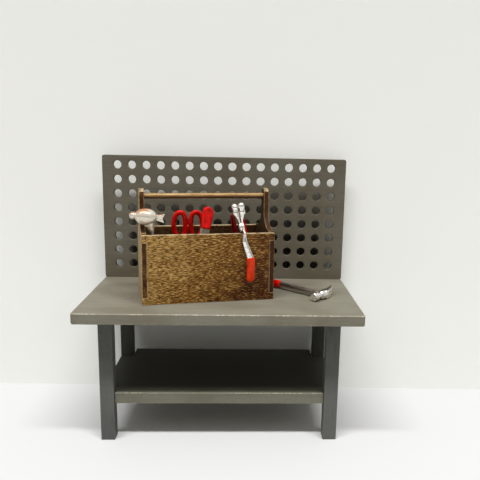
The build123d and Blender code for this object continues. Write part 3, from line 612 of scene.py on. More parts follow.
EGG_BRIGHT = screen(236, 227, 210)
EGG_COPPER_REFLECTION = screen(206, 134, 80)
EGG_MIRROR = 0.5
CAST_METAL = polished("cast_metal", screen(248, 246, 240), screen(190, 186, 178), 0.14, 0.09).material
SMOOTH_METAL = polished("smooth_metal", screen(240, 238, 231), screen(170, 166, 157), 0.24, 0.05).material
SATIN_STEEL = polished("satin_steel", screen(240, 228, 212), screen(200, 184, 166), 0.5, 0.03).material
PIN_STEEL = polished("pin_steel", screen(200, 200, 200), screen(150, 148, 145), 0.3, 0.02).material
egg_finish = polished("egg_metal", EGG_BRIGHT, screen(214, 206, 200), 0.1, 0.03, (2.5, 2.5, 2.5))
# painted reflection: a coppery band on the faces that look up and not to the right
painted_copper_reflection_above = egg_finish.ramp(egg_finish.facing(2), 0.25, 0.8, 0.0, 0.85)
painted_copper_reflection = egg_finish.times(painted_copper_reflection_above, egg_finish.ramp(egg_finish.facing(0), 0.45, 0.1))
egg_finish.set(Base_Color=egg_finish.mix(painted_copper_reflection, EGG_BRIGHT, EGG_COPPER_REFLECTION), Metallic=EGG_MIRROR)
EGG_METAL = egg_finish.material
metals = (CAST_METAL, SMOOTH_METAL, SATIN_STEEL, PIN_STEEL, EGG_METAL)
print("metal finishes:", [metal.name for metal in metals])

# %% [markdown]
# Handles were dipped in red paint, which leaves a thick glossy skin with soft sags and a few rubbed spots.
# The hanging pliers' grips are a warmer orange-red than the rest, and one grip in the box is painted a deep
# crimson as painted shade, where the hanging pliers shade it.
# The gloss is a clear coat over a satin red, and slow ripples in the relief break the reflections.

# %% Red dip
SAG_DEPTH = 0.08


def red_dip(name, red, deep):
    """Thick glossy dip: a deeper red in the sags and a clear coat."""
    dip = Finish(name, Coat_Weight=0.18, Coat_Roughness=0.1, Specular_IOR_Level=0.1)
    sags = dip.grain((2.2, 2.2, 3.0), detail=3.0)
    colour = dip.cover(red, deep, sags, 0.4, 0.68)
    dust = dip.grain((0.4, 0.4, 0.4), detail=2.0)
    colour = dip.cover(colour, deep, dust, 0.66, 0.76, most=0.4)
    dip.set(Base_Color=colour, Roughness=dip.ramp(sags, 0.3, 0.7, 0.3, 0.45))
    dip.relief(dip.plus(sags, dip.times(dust, 0.2)), SAG_DEPTH)
    return dip.material


RED_DIP = red_dip("red_dip", screen(252, 14, 5), screen(204, 7, 3))
ORANGE_DIP = red_dip("orange_dip", screen(248, 66, 14), screen(222, 42, 8))
# painted shade: a darker copy of the red dip for the grip that lies in the hanging pliers' shade
SHADED_DIP = red_dip("shaded_dip", screen(150, 16, 18), screen(104, 10, 12))
print("dipped finishes:", RED_DIP.name, ORANGE_DIP.name, SHADED_DIP.name)

# %% [markdown]
# Every piece goes through the same steps: it is drawn as an editable mesh in its own millimetres, its
# edges are rounded, it is set in place, and it takes over from the plain node of the same name, on the
# same body. Rounding marks its new faces, so that paint knows where it is worn.

# %% Helpers for pieces
SMOOTH_BELOW = radians(48)  # faces that meet at less are shaded as one
WELD = 0.01  # points nearer than this are one
FOLLOWS = 0.99  # a face or an edge follows a direction above this cosine


def blank():
    """An empty mesh with the face attributes that the finishes read."""
    bm = bmesh.new()
    for attribute in (EDGE_WEAR, SAWN, INSIDE):
        bm.faces.layers.float.new(attribute)
    return bm


def mark(bm, faces, attribute, value=1.0):
    """Writes a value into a face attribute."""
    layer = bm.faces.layers.float[attribute]
    for face in faces:
        face[layer] = value


def ease(bm, edges, width, segments=2, wear=1.0):
    """Rounds edges and marks the new faces as worn."""
    made = bmesh.ops.bevel(
        bm, geom=edges, offset=width, affect="EDGES", segments=segments, profile=0.5, material=-1,
        clamp_overlap=True,
    )
    mark(bm, made["faces"], EDGE_WEAR, wear)
    mark(bm, made["faces"], SAWN, 0.0)


def crisp(bm, least=50):
    """Edges where two faces meet at more than so many degrees."""
    return [e for e in bm.edges if e.is_manifold and e.calc_face_angle() > radians(least)]


def along_axis(edges, axis):
    """Those edges that run along X, Y or Z."""
    ways = [(e, (e.verts[1].co - e.verts[0].co).normalized()) for e in edges]
    return [e for e, way in ways if abs(way[axis]) > FOLLOWS]


def verts_of(geom):
    """The vertices among what an operator hands back."""
    return [v for v in geom if isinstance(v, bmesh.types.BMVert)]


def edges_of(verts):
    """The edges that meet at some vertices, each once."""
    return list(dict.fromkeys(e for v in verts for e in v.link_edges))


def pull(bm, faces, thick):
    """Pulls a copy of flat faces out along Z, with walls between, and hands back its vertices."""
    far = verts_of(bmesh.ops.extrude_face_region(bm, geom=faces, use_keep_orig=True)["geom"])
    bmesh.ops.translate(bm, verts=far, vec=(0, 0, thick))
    return far


def face_out(bm):
    """Turns all faces outwards."""
    bmesh.ops.recalc_face_normals(bm, faces=bm.faces)


def new_piece(node, bm, material, matrix):
    """A finished object in place of a node, riding on the node's body."""
    bmesh.ops.transform(bm, matrix=matrix, verts=bm.verts)
    face_out(bm)
    piece = mesh_object(f"{node}_dressed", bm, material)
    piece.data.shade_smooth()
    piece.data.set_sharp_from_angle(angle=SMOOTH_BELOW)
    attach(piece, BODY_OF[node])
    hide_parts(node)
    print(piece.name, len(piece.data.polygons), "faces")
    return piece


def even_shading(piece):
    """Keeps large flat faces flat next to their rounded edges."""
    piece.modifiers.new("even_shading", "WEIGHTED_NORMAL").keep_sharp = True


def block(low, high):
    """A block between two corners."""
    bm = blank()
    middle = (Vector(low) + Vector(high)) / 2
    size = Vector(high) - Vector(low)
    bmesh.ops.create_cube(bm, size=1.0, matrix=Matrix.Translation(middle) @ Matrix.Diagonal((*size, 1)))
    return bm


FLAT = Matrix.Identity(4)  # outline in X and Y, thickness in Z
FRONTAL = Matrix(((1, 0, 0, 0), (0, 0, 1, 0), (0, 1, 0, 0), (0, 0, 0, 1)))  # in X and Z, thickness in Y
SIDEWAYS = Matrix(((0, 0, 1, 0), (1, 0, 0, 0), (0, 1, 0, 0), (0, 0, 0, 1)))  # in Y and Z, thickness in X


def mirrored(right):
    """A whole outline from its right half."""
    return right + [(-u, v) for u, v in reversed(right) if u > WELD]


def board(bm, outline, thick, lie, start=(0, 0, 0)):
    """A board cut to an outline: one face, pulled out to its thickness. Its edges are marked sawn."""
    face = bm.faces.new([bm.verts.new((u, v, 0)) for u, v in outline])
    verts = list(face.verts) + pull(bm, [face], thick)
    bm.normal_update()
    mark(bm, {f for v in verts for f in v.link_faces if abs(f.normal.z) < FOLLOWS}, SAWN)
    bmesh.ops.transform(bm, matrix=Matrix.Translation(start) @ lie, verts=verts)
    return verts


print("piece helpers ready")

# %% [markdown]
# The bench is made of plain boards. The top has rounded upright corners and a sanded rim, the shelf has a
# notch at each corner where a leg passes, and the legs are square sticks. Cubes and a cut-out outline
# with rounded edges are all that is needed, because the paint brings the rest.

# %% Bench top, shelf and legs
TOP_CORNER = 1.0
TOP_EASE = 0.32
TOP_UNDER_EASE = 0.7
TOP_UNDER_WEAR = 0.4
SHELF_EASE = 0.28
LEG_EASE = 0.3
LEGS = ("front_left_leg", "front_right_leg", "back_left_leg", "back_right_leg")

top_low, top_high = node_box(SQUARE, "bench_top")
top_board = block(top_low, top_high)
ease(top_board, along_axis(top_board.edges, 2), TOP_CORNER, segments=5, wear=0.0)
under = [e for e in crisp(top_board) if e.verts[0].co.z + e.verts[1].co.z < top_low.z + top_high.z]
ease(top_board, under, TOP_UNDER_EASE, segments=3, wear=TOP_UNDER_WEAR)
ease(top_board, crisp(top_board), TOP_EASE)
even_shading(new_piece("bench_top", top_board, BENCH_PAINT, BENCH_PLACE))

shelf_low, shelf_high = node_box(SQUARE, "shelf")
leg_low, leg_high = node_box(SQUARE, "front_right_leg")
NOTCH_GAP = 0.15
notch_x = leg_low.x - NOTCH_GAP
notch_front = leg_high.y + NOTCH_GAP
notch_back = node_box(SQUARE, "back_right_leg")[0].y - NOTCH_GAP
right_side = [
    (notch_x, shelf_low.y), (notch_x, notch_front), (shelf_high.x, notch_front),
    (shelf_high.x, notch_back), (notch_x, notch_back), (notch_x, shelf_high.y),
]
shelf_board = blank()
board(shelf_board, mirrored(right_side), shelf_high.z - shelf_low.z, FLAT, (0, 0, shelf_low.z))
ease(shelf_board, crisp(shelf_board), SHELF_EASE)
even_shading(new_piece("shelf", shelf_board, SHELF_PAINT, BENCH_PLACE))

for leg in LEGS:
    stick = block(*node_box(SQUARE, leg))
    ease(stick, crisp(stick), LEG_EASE)
    # the back legs take the darker paint, as painted shade
    paint = SHADED_BACK_LEG_PAINT if leg.startswith("back") else LEG_PAINT
    even_shading(new_piece(leg, stick, paint, BENCH_PLACE))

# %% [markdown]
# The pegboard has 128 round holes. Cutting them one by one would be slow and messy, so one square tile
# with a hole is made from a circle bridged to a square, copied over the grid and welded.

# %% Pegboard: the tiles
HOLE_RADIUS = 2.05
HOLE_PITCH = 7.03
HOLE_STEPS = 24  # points round a hole
FIRST_ROW = 7.2  # bench top to the lowest row

board_low, board_high = node_box(SQUARE, "pegboard")
board_size = board_high - board_low
pattern = next(m for m in frame["record"]["mounts"] if m["name"] == "peg_holes")["dims"]
columns = round(pattern["spacing_x_mm"] / HOLE_PITCH) + 1
rows = round(pattern["spacing_y_mm"] / HOLE_PITCH) + 1

peg_sheet = blank()
hole = bmesh.ops.create_circle(peg_sheet, segments=HOLE_STEPS, radius=HOLE_RADIUS)["verts"]
hole_edges = edges_of(hole)
tile = bmesh.ops.create_circle(
    peg_sheet, segments=4, radius=HOLE_PITCH / 2**0.5, matrix=Matrix.Rotation(radians(45), 4, "Z")
)["verts"]
bmesh.ops.subdivide_edges(peg_sheet, edges=edges_of(tile), cuts=HOLE_STEPS // 4 - 1)
tile_edges = [e for e in peg_sheet.edges if e not in hole_edges]
bmesh.ops.bridge_loops(peg_sheet, edges=hole_edges + tile_edges)
one_tile = list(peg_sheet.verts) + list(peg_sheet.edges) + list(peg_sheet.faces)
first_x = -HOLE_PITCH * (columns - 1) / 2
for column in range(columns):
    for row in range(rows):
        copy = bmesh.ops.duplicate(peg_sheet, geom=one_tile)["geom"]
        step = (first_x + HOLE_PITCH * column, FIRST_ROW + HOLE_PITCH * row, 0)
        bmesh.ops.translate(peg_sheet, verts=verts_of(copy), vec=step)
bmesh.ops.delete(peg_sheet, geom=verts_of(one_tile), context="VERTS")
bmesh.ops.remove_doubles(peg_sheet, verts=peg_sheet.verts, dist=WELD)
print(columns, "by", rows, "holes")

# %% [markdown]
# The rim is pulled out from the border of the tiles, and then the whole sheet gets its thickness. The
# upright corners are rounded first, then the rim and the lips of the holes, so that each bevel meets clean
# edges. The sheet was drawn lying down, and one matrix stands it up behind the bench.

# %% Pegboard: rim, thickness and edges
BOARD_CORNER = 1.0
BOARD_EASE = 0.22
HOLE_LIP = 0.16

half_grid = HOLE_PITCH * columns / 2
grid_low = FIRST_ROW - HOLE_PITCH / 2
grid_high = grid_low + HOLE_PITCH * rows
for axis, edge_at, board_at in (
    (0, -half_grid, -board_size.x / 2), (0, half_grid, board_size.x / 2),
    (1, grid_low, 0.0), (1, grid_high, board_size.z),
):
    border = [
        e for e in peg_sheet.edges
        if e.is_boundary and all(abs(v.co[axis] - edge_at) < WELD for v in e.verts)
    ]
    for v in verts_of(bmesh.ops.extrude_edge_only(peg_sheet, edges=border)["geom"]):
        v.co[axis] = board_at
face_out(peg_sheet)
pull(peg_sheet, list(peg_sheet.faces), board_size.y)
face_out(peg_sheet)


def near_rim(edge):
    """Whether an edge is on the board's outline and not on a hole."""
    middle = (edge.verts[0].co + edge.verts[1].co) / 2
    beside = abs(middle.x) > half_grid + WELD
    return beside or middle.y < grid_low - WELD or middle.y > grid_high + WELD


corners = [e for e in along_axis(crisp(peg_sheet), 2) if near_rim(e)]
ease(peg_sheet, corners, BOARD_CORNER, segments=5, wear=0.0)
rim = [e for e in crisp(peg_sheet) if near_rim(e)]
ease(peg_sheet, rim, BOARD_EASE)
lips = [e for e in crisp(peg_sheet) if not near_rim(e)]
ease(peg_sheet, lips, HOLE_LIP, segments=1, wear=0.0)
standing_board = Matrix.Translation((0, board_low.y, board_low.z)) @ FRONTAL
even_shading(new_piece("pegboard", peg_sheet, BOARD_PAINT, BENCH_PLACE @ standing_board))

# %% [markdown]
# Dowels and pins hold the bench together inside the wood and show only when it comes apart. The plain
# nodes already have the right shape, so they stay and only get a finish.

# %% Hidden joinery
for node, material in (("leg_dowels", DOWEL_WOOD), ("shelf_pins", PIN_STEEL), ("pegboard_pins", PIN_STEEL)):
    frame["nodes"][node].data.materials.clear()
    frame["nodes"][node].data.materials.append(material)
    print(node, "finished with", material.name)

# %% [markdown]
# The toolbox is five plywood boards and a rod. Front and back have a tab at each corner, and the ends have
# tongues that fill the gaps between the tabs, a hollow shoulder and a rounded post. Each board is drawn as
# one outline, with arcs for the shoulder and the post's top, and pulled to its thickness. The upper rims
# are rubbed bare, so they are marked as worn.

# %% Toolbox boards
TAB_HEIGHT = 3.1
SHOULDER_RISE = 0.6
POST_WIDTH = 5.0
SHOULDER_CURVE = 7.6  # height of the hollow between shoulder and post
PLY_EASE = 0.22
PLY_WEAR = 0.4
LOOKS_UP = 0.5  # upper faces, as the cosine to straight up
ARC_STEPS = 10

box_size = box_high - box_low
front_low, front_high = node_box(BOX_AXES, "box_front")
PLY = front_high.y - front_low.y
PANEL_HEIGHT = front_high.z - front_low.z


def arc(centre, radius_u, radius_v, start, end):
    """Points on an oval from one angle to another, in degrees."""
    angles = [radians(start + (end - start) * i / ARC_STEPS) for i in range(ARC_STEPS + 1)]
    return [(centre[0] + radius_u * cos(a), centre[1] + radius_v * sin(a)) for a in angles]


def side_outline():
    """Front or back board with its corner tabs."""
    width = box_size.x
    notch_top = PANEL_HEIGHT - TAB_HEIGHT
    right = [
        (width, 0), (width, TAB_HEIGHT), (width - PLY, TAB_HEIGHT), (width - PLY, notch_top),
        (width, notch_top), (width, PANEL_HEIGHT),
    ]
    return right + [(width - u, v) for u, v in reversed(right)]


def end_outline():
    """End board, about its own middle: tongue, shoulder, hollow curve and post."""
    side = box_size.y / 2 - PLY
    post = POST_WIDTH / 2
    shoulder = PANEL_HEIGHT + SHOULDER_RISE
    curve_top = shoulder + SHOULDER_CURVE
    tongue_top = PANEL_HEIGHT - TAB_HEIGHT
    tongue = side + PLY
    right = [(side, 0), (side, TAB_HEIGHT), (tongue, TAB_HEIGHT), (tongue, tongue_top), (side, tongue_top)]
    right += arc((side, curve_top), side - post, SHOULDER_CURVE, 270, 180)
    right += arc((0, box_size.z - post), post, post, 0, 90)
    return mirrored(right)


def ply_board(node, lie, start, inward):
    """One board of the toolbox, with a rim rubbed bare and a darker inside."""
    sideways = lie is SIDEWAYS
    rubbed_above = box_size.z - POST_WIDTH if sideways else PANEL_HEIGHT / 2
    bm = blank()
    board(bm, end_outline() if sideways else side_outline(), PLY, lie, start)
    face_out(bm)
    upper = [f for f in bm.faces if f.normal.z > LOOKS_UP and f.calc_center_median().z > rubbed_above]
    mark(bm, upper, EDGE_WEAR)
    mark(bm, [f for f in bm.faces if f.normal.dot(inward) > FOLLOWS], INSIDE)
    ease(bm, crisp(bm), PLY_EASE, wear=PLY_WEAR)
    even_shading(new_piece(node, bm, STAINED_ENDS if sideways else STAINED_SIDES, BOX_PLACE))


right_start = (box_size.x - PLY, box_size.y / 2, 0)
ply_board("box_front", FRONTAL, (0, 0, 0), Vector((0, 1, 0)))
ply_board("box_back", FRONTAL, (0, box_size.y - PLY, 0), Vector((0, -1, 0)))
ply_board("box_left_end", SIDEWAYS, (0, box_size.y / 2, 0), Vector((1, 0, 0)))
ply_board("box_right_end", SIDEWAYS, right_start, Vector((-1, 0, 0)))

floor_low, floor_high = node_box(BOX_AXES, "box_floor")
box_bottom = block(floor_low - box_low, floor_high - box_low)
mark(box_bottom, box_bottom.faces, INSIDE)
ease(box_bottom, crisp(box_bottom), PLY_EASE, wear=0.0)
even_shading(new_piece("box_floor", box_bottom, STAINED_SIDES, BOX_PLACE))

# %% [markdown]
# Handles, shafts, grips and bows are all drawn the same way: a row of ovals along a path, bridged into a
# tube. A row of circles keeps full control of the taper, where a curve with a bevel would give one
# thickness all along. The toolbox's rod gets a slight waviness, as a hand-sanded stick has.

# %% Tubes, and the toolbox handle
TUBE_STEPS = 24
ROD_WAVE = 0.05
ROD_WAVE_LENGTH = 7.0
ROD_PROUD = 0.1  # rod end beyond the end boards
ROD_EASE = 0.15
ROD_SPANS = 30


def tube(bm, sections, steps=TUBE_STEPS, closed=False):
    """Bridges ovals into a tube. A section is (matrix, half width in its x, half width in its y)."""
    loops = []
    for matrix, half_x, half_y in sections:
        ring = bmesh.ops.create_circle(
            bm, segments=steps, radius=1.0, matrix=matrix @ Matrix.Diagonal((half_x, half_y, 1, 1))
        )["verts"]
        loops.append(edges_of(ring))
    after = loops[1:] + loops[:1] if closed else loops[1:]
    for first, second in zip(loops, after):
        bmesh.ops.bridge_loops(bm, edges=first + second)
    if not closed:
        for loop in (loops[0], loops[-1]):
            bmesh.ops.contextual_create(bm, geom=loop)


def level_at(x, y, z):
    """Place of an oval that lies level."""
    return Matrix.Translation((x, y, z))


def across_at(x, y, z):
    """Place of an oval that faces along X."""
    return Matrix.Translation((x, y, z)) @ Matrix.Rotation(radians(90), 4, "Y")


rod_low, rod_high = node_box(BOX_AXES, "box_handle")
rod_low, rod_high = rod_low - box_low, rod_high - box_low
rod_radius = (rod_high.z - rod_low.z) / 2
rod_middle = (rod_low + rod_high) / 2
rod_start = rod_low.x - ROD_PROUD
rod_length = rod_high.x - rod_low.x + 2 * ROD_PROUD
rod_sections = []
for i in range(ROD_SPANS + 1):
    x = rod_start + rod_length * i / ROD_SPANS
    wave = ROD_WAVE * noise.noise((x / ROD_WAVE_LENGTH, 0, 0))
    rod_sections.append((across_at(x, rod_middle.y, rod_middle.z + wave), rod_radius + wave / 2, rod_radius))
handle_rod = blank()
tube(handle_rod, rod_sections)
face_out(handle_rod)
mark(handle_rod, [f for f in handle_rod.faces if abs(f.normal.x) > FOLLOWS], SAWN)
ease(handle_rod, crisp(handle_rod), ROD_EASE, wear=0.0)
new_piece("box_handle", handle_rod, HANDLE_WOOD, BOX_PLACE)

# %% [markdown]
# Cast heads have no sharp inner corners: metal flows round every joint. Their rough shapes are laid into
# each other as closed lumps, and a voxel remesh melts them into one skin, which a smoothing then rounds.
# Drawing such a skin by hand would take far longer and would look stiffer.

# %% Cast skins and hammer handles
CAST_VOXEL = 0.11
CAST_SMOOTHING = 5
LUMP_STEPS = (32, 20)  # round an egg and from pole to pole
DRUM_STEPS = 32
SHAFT_FOOT = 1.2  # inside the grip
SHAFT_PROUD = 1.0
SHAFT_EASE = 0.2
HEAD_DEPTH = 4.0  # from the middle of a head down to the bare shaft
GRIP_LENGTH = 11.0
GRIP_RADIUS = 1.75
GRIP_SWELL = (  # height, share of the radius
    (0, 0.62), (0.25, 0.84), (0.7, 0.97), (2.2, 1.0), (5.5, 0.95), (9.0, 1.0), (10.4, 0.99), (10.8, 0.93),
    (GRIP_LENGTH, 0.78),
)


def cast(piece, voxel=CAST_VOXEL, smoothing=CAST_SMOOTHING):
    """Melts a piece's lumps into one cast skin."""
    melt = piece.modifiers.new("melt", "REMESH")
    melt.mode = "VOXEL"
    melt.voxel_size = voxel * MM
    melt.use_smooth_shade = True
    rub = piece.modifiers.new("rub", "SMOOTH")
    rub.iterations = smoothing


def lump(bm, middle, half_sizes):
    """A ball stretched to an egg."""
    matrix = Matrix.Translation(middle) @ Matrix.Diagonal((*half_sizes, 1))
    around, upwards = LUMP_STEPS
    bmesh.ops.create_uvsphere(bm, u_segments=around, v_segments=upwards, radius=1.0, matrix=matrix)


def drum(bm, start, end, radius_start, radius_end):
    """A cone or cylinder between two points."""
    way = Vector(end) - Vector(start)
    middle = (Vector(start) + Vector(end)) / 2
    bmesh.ops.create_cone(
        bm, cap_ends=True, segments=DRUM_STEPS, radius1=radius_start, radius2=radius_end, depth=way.length,
        matrix=Matrix.Translation(middle) @ way.to_track_quat("Z", "Y").to_matrix().to_4x4(),
    )


def turned(bm, lengths):
    """Round lengths along X, each from one place to another and from one radius to another."""
    for start, end, radius_start, radius_end in lengths:
        drum(bm, (start, 0, 0), (end, 0, 0), radius_start, radius_end)


def hammer_shaft(node, radius, length, material, matrix):
    """Round shaft with a softened upper end."""
    bm = blank()
    top = length + SHAFT_PROUD
    heights = (SHAFT_FOOT, GRIP_LENGTH, length / 2, length - HEAD_DEPTH, top - SHAFT_EASE)
    sections = [(level_at(0, 0, z), radius, radius) for z in heights]
    tube(bm, sections + [(level_at(0, 0, top), radius - SHAFT_EASE, radius - SHAFT_EASE)])
    new_piece(node, bm, material, matrix)


def hammer_grip(node, material, matrix):
    """Dipped grip: a rounded foot, a faint waist and a thick lip where the dip ended."""
    bm = blank()
    tube(bm, [(level_at(0, 0, z), GRIP_RADIUS * share, GRIP_RADIUS * share) for z, share in GRIP_SWELL])
    new_piece(node, bm, material, matrix)


print("cast and hammer helpers ready")

# %% [markdown]
# The hammer in the box leans to the left. Its head is an egg with a small knob for a face, a collar and a
# split tail, and a cone under it holds the shaft. The head sits a little askew on the shaft, so it is tilted
# before the cone is added.

# %% Hammer in the box
BOX_HAMMER_LEAN = radians(9.0)
BOX_HEAD_TILT = radians(15.0)
BOX_SHAFT_LENGTH = 34.9  # end of the grip to the middle of the head
BOX_SHAFT_RADIUS = 0.8
box_hammer_axes = BOX_AXES @ Matrix.Rotation(-BOX_HAMMER_LEAN, 3, "Y")
BOX_HAMMER_PLACE = standing(box_hammer_axes, "box_hammer_grip")
hammer_shaft("box_hammer_shaft", BOX_SHAFT_RADIUS, BOX_SHAFT_LENGTH, SMOOTH_METAL, BOX_HAMMER_PLACE)
hammer_grip("box_hammer_grip", RED_DIP, BOX_HAMMER_PLACE)

EGG_MIDDLE = -1.2  # middle of the body, from the eye towards the knob
EGG_HALF_LENGTH = 4.8
EGG_RADIUS = 3.55
KNOB_MIDDLE = -6.7
KNOB_RADIUS = 1.55
KNOB_FLATNESS = 0.95  # its length as a share of its width
EGG_TURNINGS = (  # from and to along the head, and the radius at each
    (KNOB_MIDDLE, EGG_MIDDLE - 3.6, 0.95, 1.3),  # neck of the knob
    (2.5, 3.3, 1.7, 1.55),  # collar
    (1.5, 4.4, 1.4, 0.8),  # stem of the tail
)
TAIL_ROOT = 3.2
TAIL_NECK = 1.15  # half of the height at the root
TAIL_TIP = 6.5
TAIL_HALF_HEIGHT = 1.95
TAIL_NOTCH = 0.9
TAIL_THICK = 2.4
SOCKET_LENGTH = 6.6
SOCKET_WAIST = 4.2  # below the eye, where the cone gets steeper
SOCKET_RADII = (2.8, 1.62, 1.05)  # at the eye, the waist and the foot
SOCKET_OVERLAP = 0.2

egg_head = blank()
lump(egg_head, (EGG_MIDDLE, 0, 0), (EGG_HALF_LENGTH, EGG_RADIUS, EGG_RADIUS))
lump(egg_head, (KNOB_MIDDLE, 0, 0), (KNOB_RADIUS * KNOB_FLATNESS, KNOB_RADIUS, KNOB_RADIUS))
turned(egg_head, EGG_TURNINGS)
board(
    egg_head,
    [(TAIL_ROOT, -TAIL_NECK), (TAIL_TIP, -TAIL_HALF_HEIGHT), (TAIL_TIP - TAIL_NOTCH, 0),
     (TAIL_TIP, TAIL_HALF_HEIGHT), (TAIL_ROOT, TAIL_NECK)],
    TAIL_THICK, FRONTAL, (0, -TAIL_THICK / 2, 0),
)
bmesh.ops.transform(egg_head, matrix=Matrix.Rotation(BOX_HEAD_TILT, 4, "Y"), verts=egg_head.verts)
drum(egg_head, (0, 0, 0), (0, 0, -SOCKET_WAIST), *SOCKET_RADII[:2])
drum(egg_head, (0, 0, SOCKET_OVERLAP - SOCKET_WAIST), (0, 0, -SOCKET_LENGTH), *SOCKET_RADII[1:])
at_eye = Matrix.Translation((0, 0, BOX_SHAFT_LENGTH))
cast(new_piece("box_hammer_head", egg_head, EGG_METAL, BOX_HAMMER_PLACE @ at_eye))

# %% [markdown]
# The hammer on the bench lies on its side beside the box. Its head has a round poll with a softened face,
# a neck, a round cheek and a split claw that bends towards the grip. Each prong of the claw is a curved
# board from the side, and its inner face is moved out towards the tip to open the split.

# %% Hammer on the bench
POLL_REACH = 6.8
POLL_RADIUS = 1.9
POLL_EASE = 0.3
CHEEK_RADIUS = 2.0
HEAD_TURNINGS = (  # from and to along the head, and the radius at each
    (-POLL_REACH, POLL_EASE - POLL_REACH, POLL_RADIUS - POLL_EASE, POLL_RADIUS),  # softened face
    (POLL_EASE - POLL_REACH, 2.6 - POLL_REACH, POLL_RADIUS, POLL_RADIUS),  # poll
    (2.5 - POLL_REACH, -1.6, 1.3, 1.35),  # neck
    (-2.0, -1.4, 1.4, CHEEK_RADIUS),  # shoulder of the cheek
    (-1.45, 2.0, CHEEK_RADIUS, CHEEK_RADIUS),  # cheek
)
HEAD_SMOOTHING = 3
CLAW_ROOT_AT = 1.2
CLAW_REACH = 11.0
CLAW_DROP = 3.6
CLAW_ROOT = 3.3
CLAW_TIP = 0.9
CLAW_HALF_WIDTH = 1.95
CLAW_SLOT = 0.65  # half of the gap between the claw's tips
CLAW_SPLIT_FROM = 0.36  # share of the claw's length
CLAW_CUTS = 14
BENCH_SHAFT_RADIUS = 1.25
BENCH_SHAFT_LENGTH = 36.6

BENCH_HAMMER_TURN = radians(58.0)  # between the shaft and the box's front
bench_shaft_way = box_width_way * cos(BENCH_HAMMER_TURN) - box_depth_way * sin(BENCH_HAMMER_TURN)
bench_claw_way = box_width_way * sin(BENCH_HAMMER_TURN) + box_depth_way * cos(BENCH_HAMMER_TURN)
bench_hammer_axes = axes(bench_claw_way, bench_shaft_way.cross(bench_claw_way), bench_shaft_way)
BENCH_HAMMER_PLACE = standing(bench_hammer_axes, "bench_hammer_grip")
bench_turn = atan2(bench_shaft_way.y, bench_shaft_way.x)
# painted reflection: the shaft's silver metal is given darker colours for the dark surroundings it reflects
DARK_REFLECTING_SHAFT = polished(
    "dark_shaft", screen(192, 182, 172), screen(86, 72, 64), 0.26, 0.05, (7, 0.35, 0.35), bench_turn
).material
hammer_shaft("bench_hammer_shaft", BENCH_SHAFT_RADIUS, BENCH_SHAFT_LENGTH, DARK_REFLECTING_SHAFT, BENCH_HAMMER_PLACE)
hammer_grip("bench_hammer_grip", RED_DIP, BENCH_HAMMER_PLACE)

claw_head = blank()
turned(claw_head, HEAD_TURNINGS)
claw_shares = [i / CLAW_CUTS for i in range(CLAW_CUTS + 1)]
for side in (1, -1):
    prong_sides = []
    for half in (0.5, -0.5):
        prong_sides.append([
            (share, -CLAW_DROP * share**2 + half * (CLAW_ROOT + (CLAW_TIP - CLAW_ROOT) * share))
            for share in claw_shares
        ])
    for v in board(claw_head, prong_sides[0] + prong_sides[1][::-1], 1.0, FRONTAL):
        slot = max(0.0, v.co.x - CLAW_SPLIT_FROM) / (1 - CLAW_SPLIT_FROM) * CLAW_SLOT
        v.co.x = CLAW_ROOT_AT + (CLAW_REACH - CLAW_ROOT_AT) * v.co.x
        v.co.y = side * (slot + (CLAW_HALF_WIDTH - slot) * v.co.y)
face_out(claw_head)
at_eye = Matrix.Translation((0, 0, BENCH_SHAFT_LENGTH))
bench_head = new_piece("bench_hammer_head", claw_head, CAST_METAL, BENCH_HAMMER_PLACE @ at_eye)
cast(bench_head, smoothing=HEAD_SMOOTHING)

# %% [markdown]
# The snips and both pairs of pliers turn on a rivet. Their two halves lap with a small gap, and the rivet has
# a low dome at each end. Half of its outline is drawn, mirrored and spun round the rivet's own axis.

# %% Rivets
LAP_GAP = 0.06
RIVET_RADIUS = 0.7
RIVET_HEAD = 1.2
RIVET_DOME = ((1.0, 0.0), (0.97, 0.1), (0.7, 0.128), (0.0, 0.16))  # share of the head's radius, height


def rivet(node, lap, matrix):
    """Rivet along Y with a domed head at each end, spun from half of its outline."""
    bm = blank()
    reach = lap + LAP_GAP / 2
    half = [(RIVET_RADIUS, 0), (RIVET_RADIUS, reach)]
    half += [(RIVET_HEAD * share, reach + height) for share, height in RIVET_DOME]
    outline = [(r, -y) for r, y in reversed(half[1:])] + half
    verts = [bm.verts.new((r, y, 0)) for r, y in outline]
    lines = [bm.edges.new(pair) for pair in zip(verts, verts[1:])]
    bmesh.ops.spin(
        bm, geom=verts + lines, cent=(0, 0, 0), axis=(0, 1, 0), angle=2 * pi, steps=TUBE_STEPS, use_merge=True
    )
    bmesh.ops.remove_doubles(bm, verts=bm.verts, dist=WELD)
    new_piece(node, bm, SMOOTH_METAL, matrix)


print("rivet helper ready")

# %% [markdown]
# The snips stand in the box on the points of their blades. Each half is one flat steel blade with a shank,
# and a thick dipped bow for the fingers. The bows' inner sides are nearly straight and lie side by side.
# A bow is a closed tube along an oval whose inner half is flattened with a power law.

# %% Snips
SNIPS_LAP = 0.95
BLADE_LENGTH = 12.4
BLADE_WIDTH = 2.6
BLADE_HEEL = 7.4
POINT_INSET = 1.0
BLADE_EASE = 0.08
SNIPS_BOSS = 1.8
SHANK_HALF = 1.45
BOW_RISE = 16.7
BOW_WIDTH = 7.5
BOW_HEIGHT = 13.4
BOW_TUBE = 1.12
BOW_TUBE_STEPS = 20
BOW_GAP = 0.25
BOW_STEPS = 56
BOW_SQUARE = 0.5  # below 1 flattens the inner side
SNIPS_PLACE = hinged(BOX_AXES, "snips_pivot")
bow_middle = (BOW_WIDTH + BOW_GAP) / 2


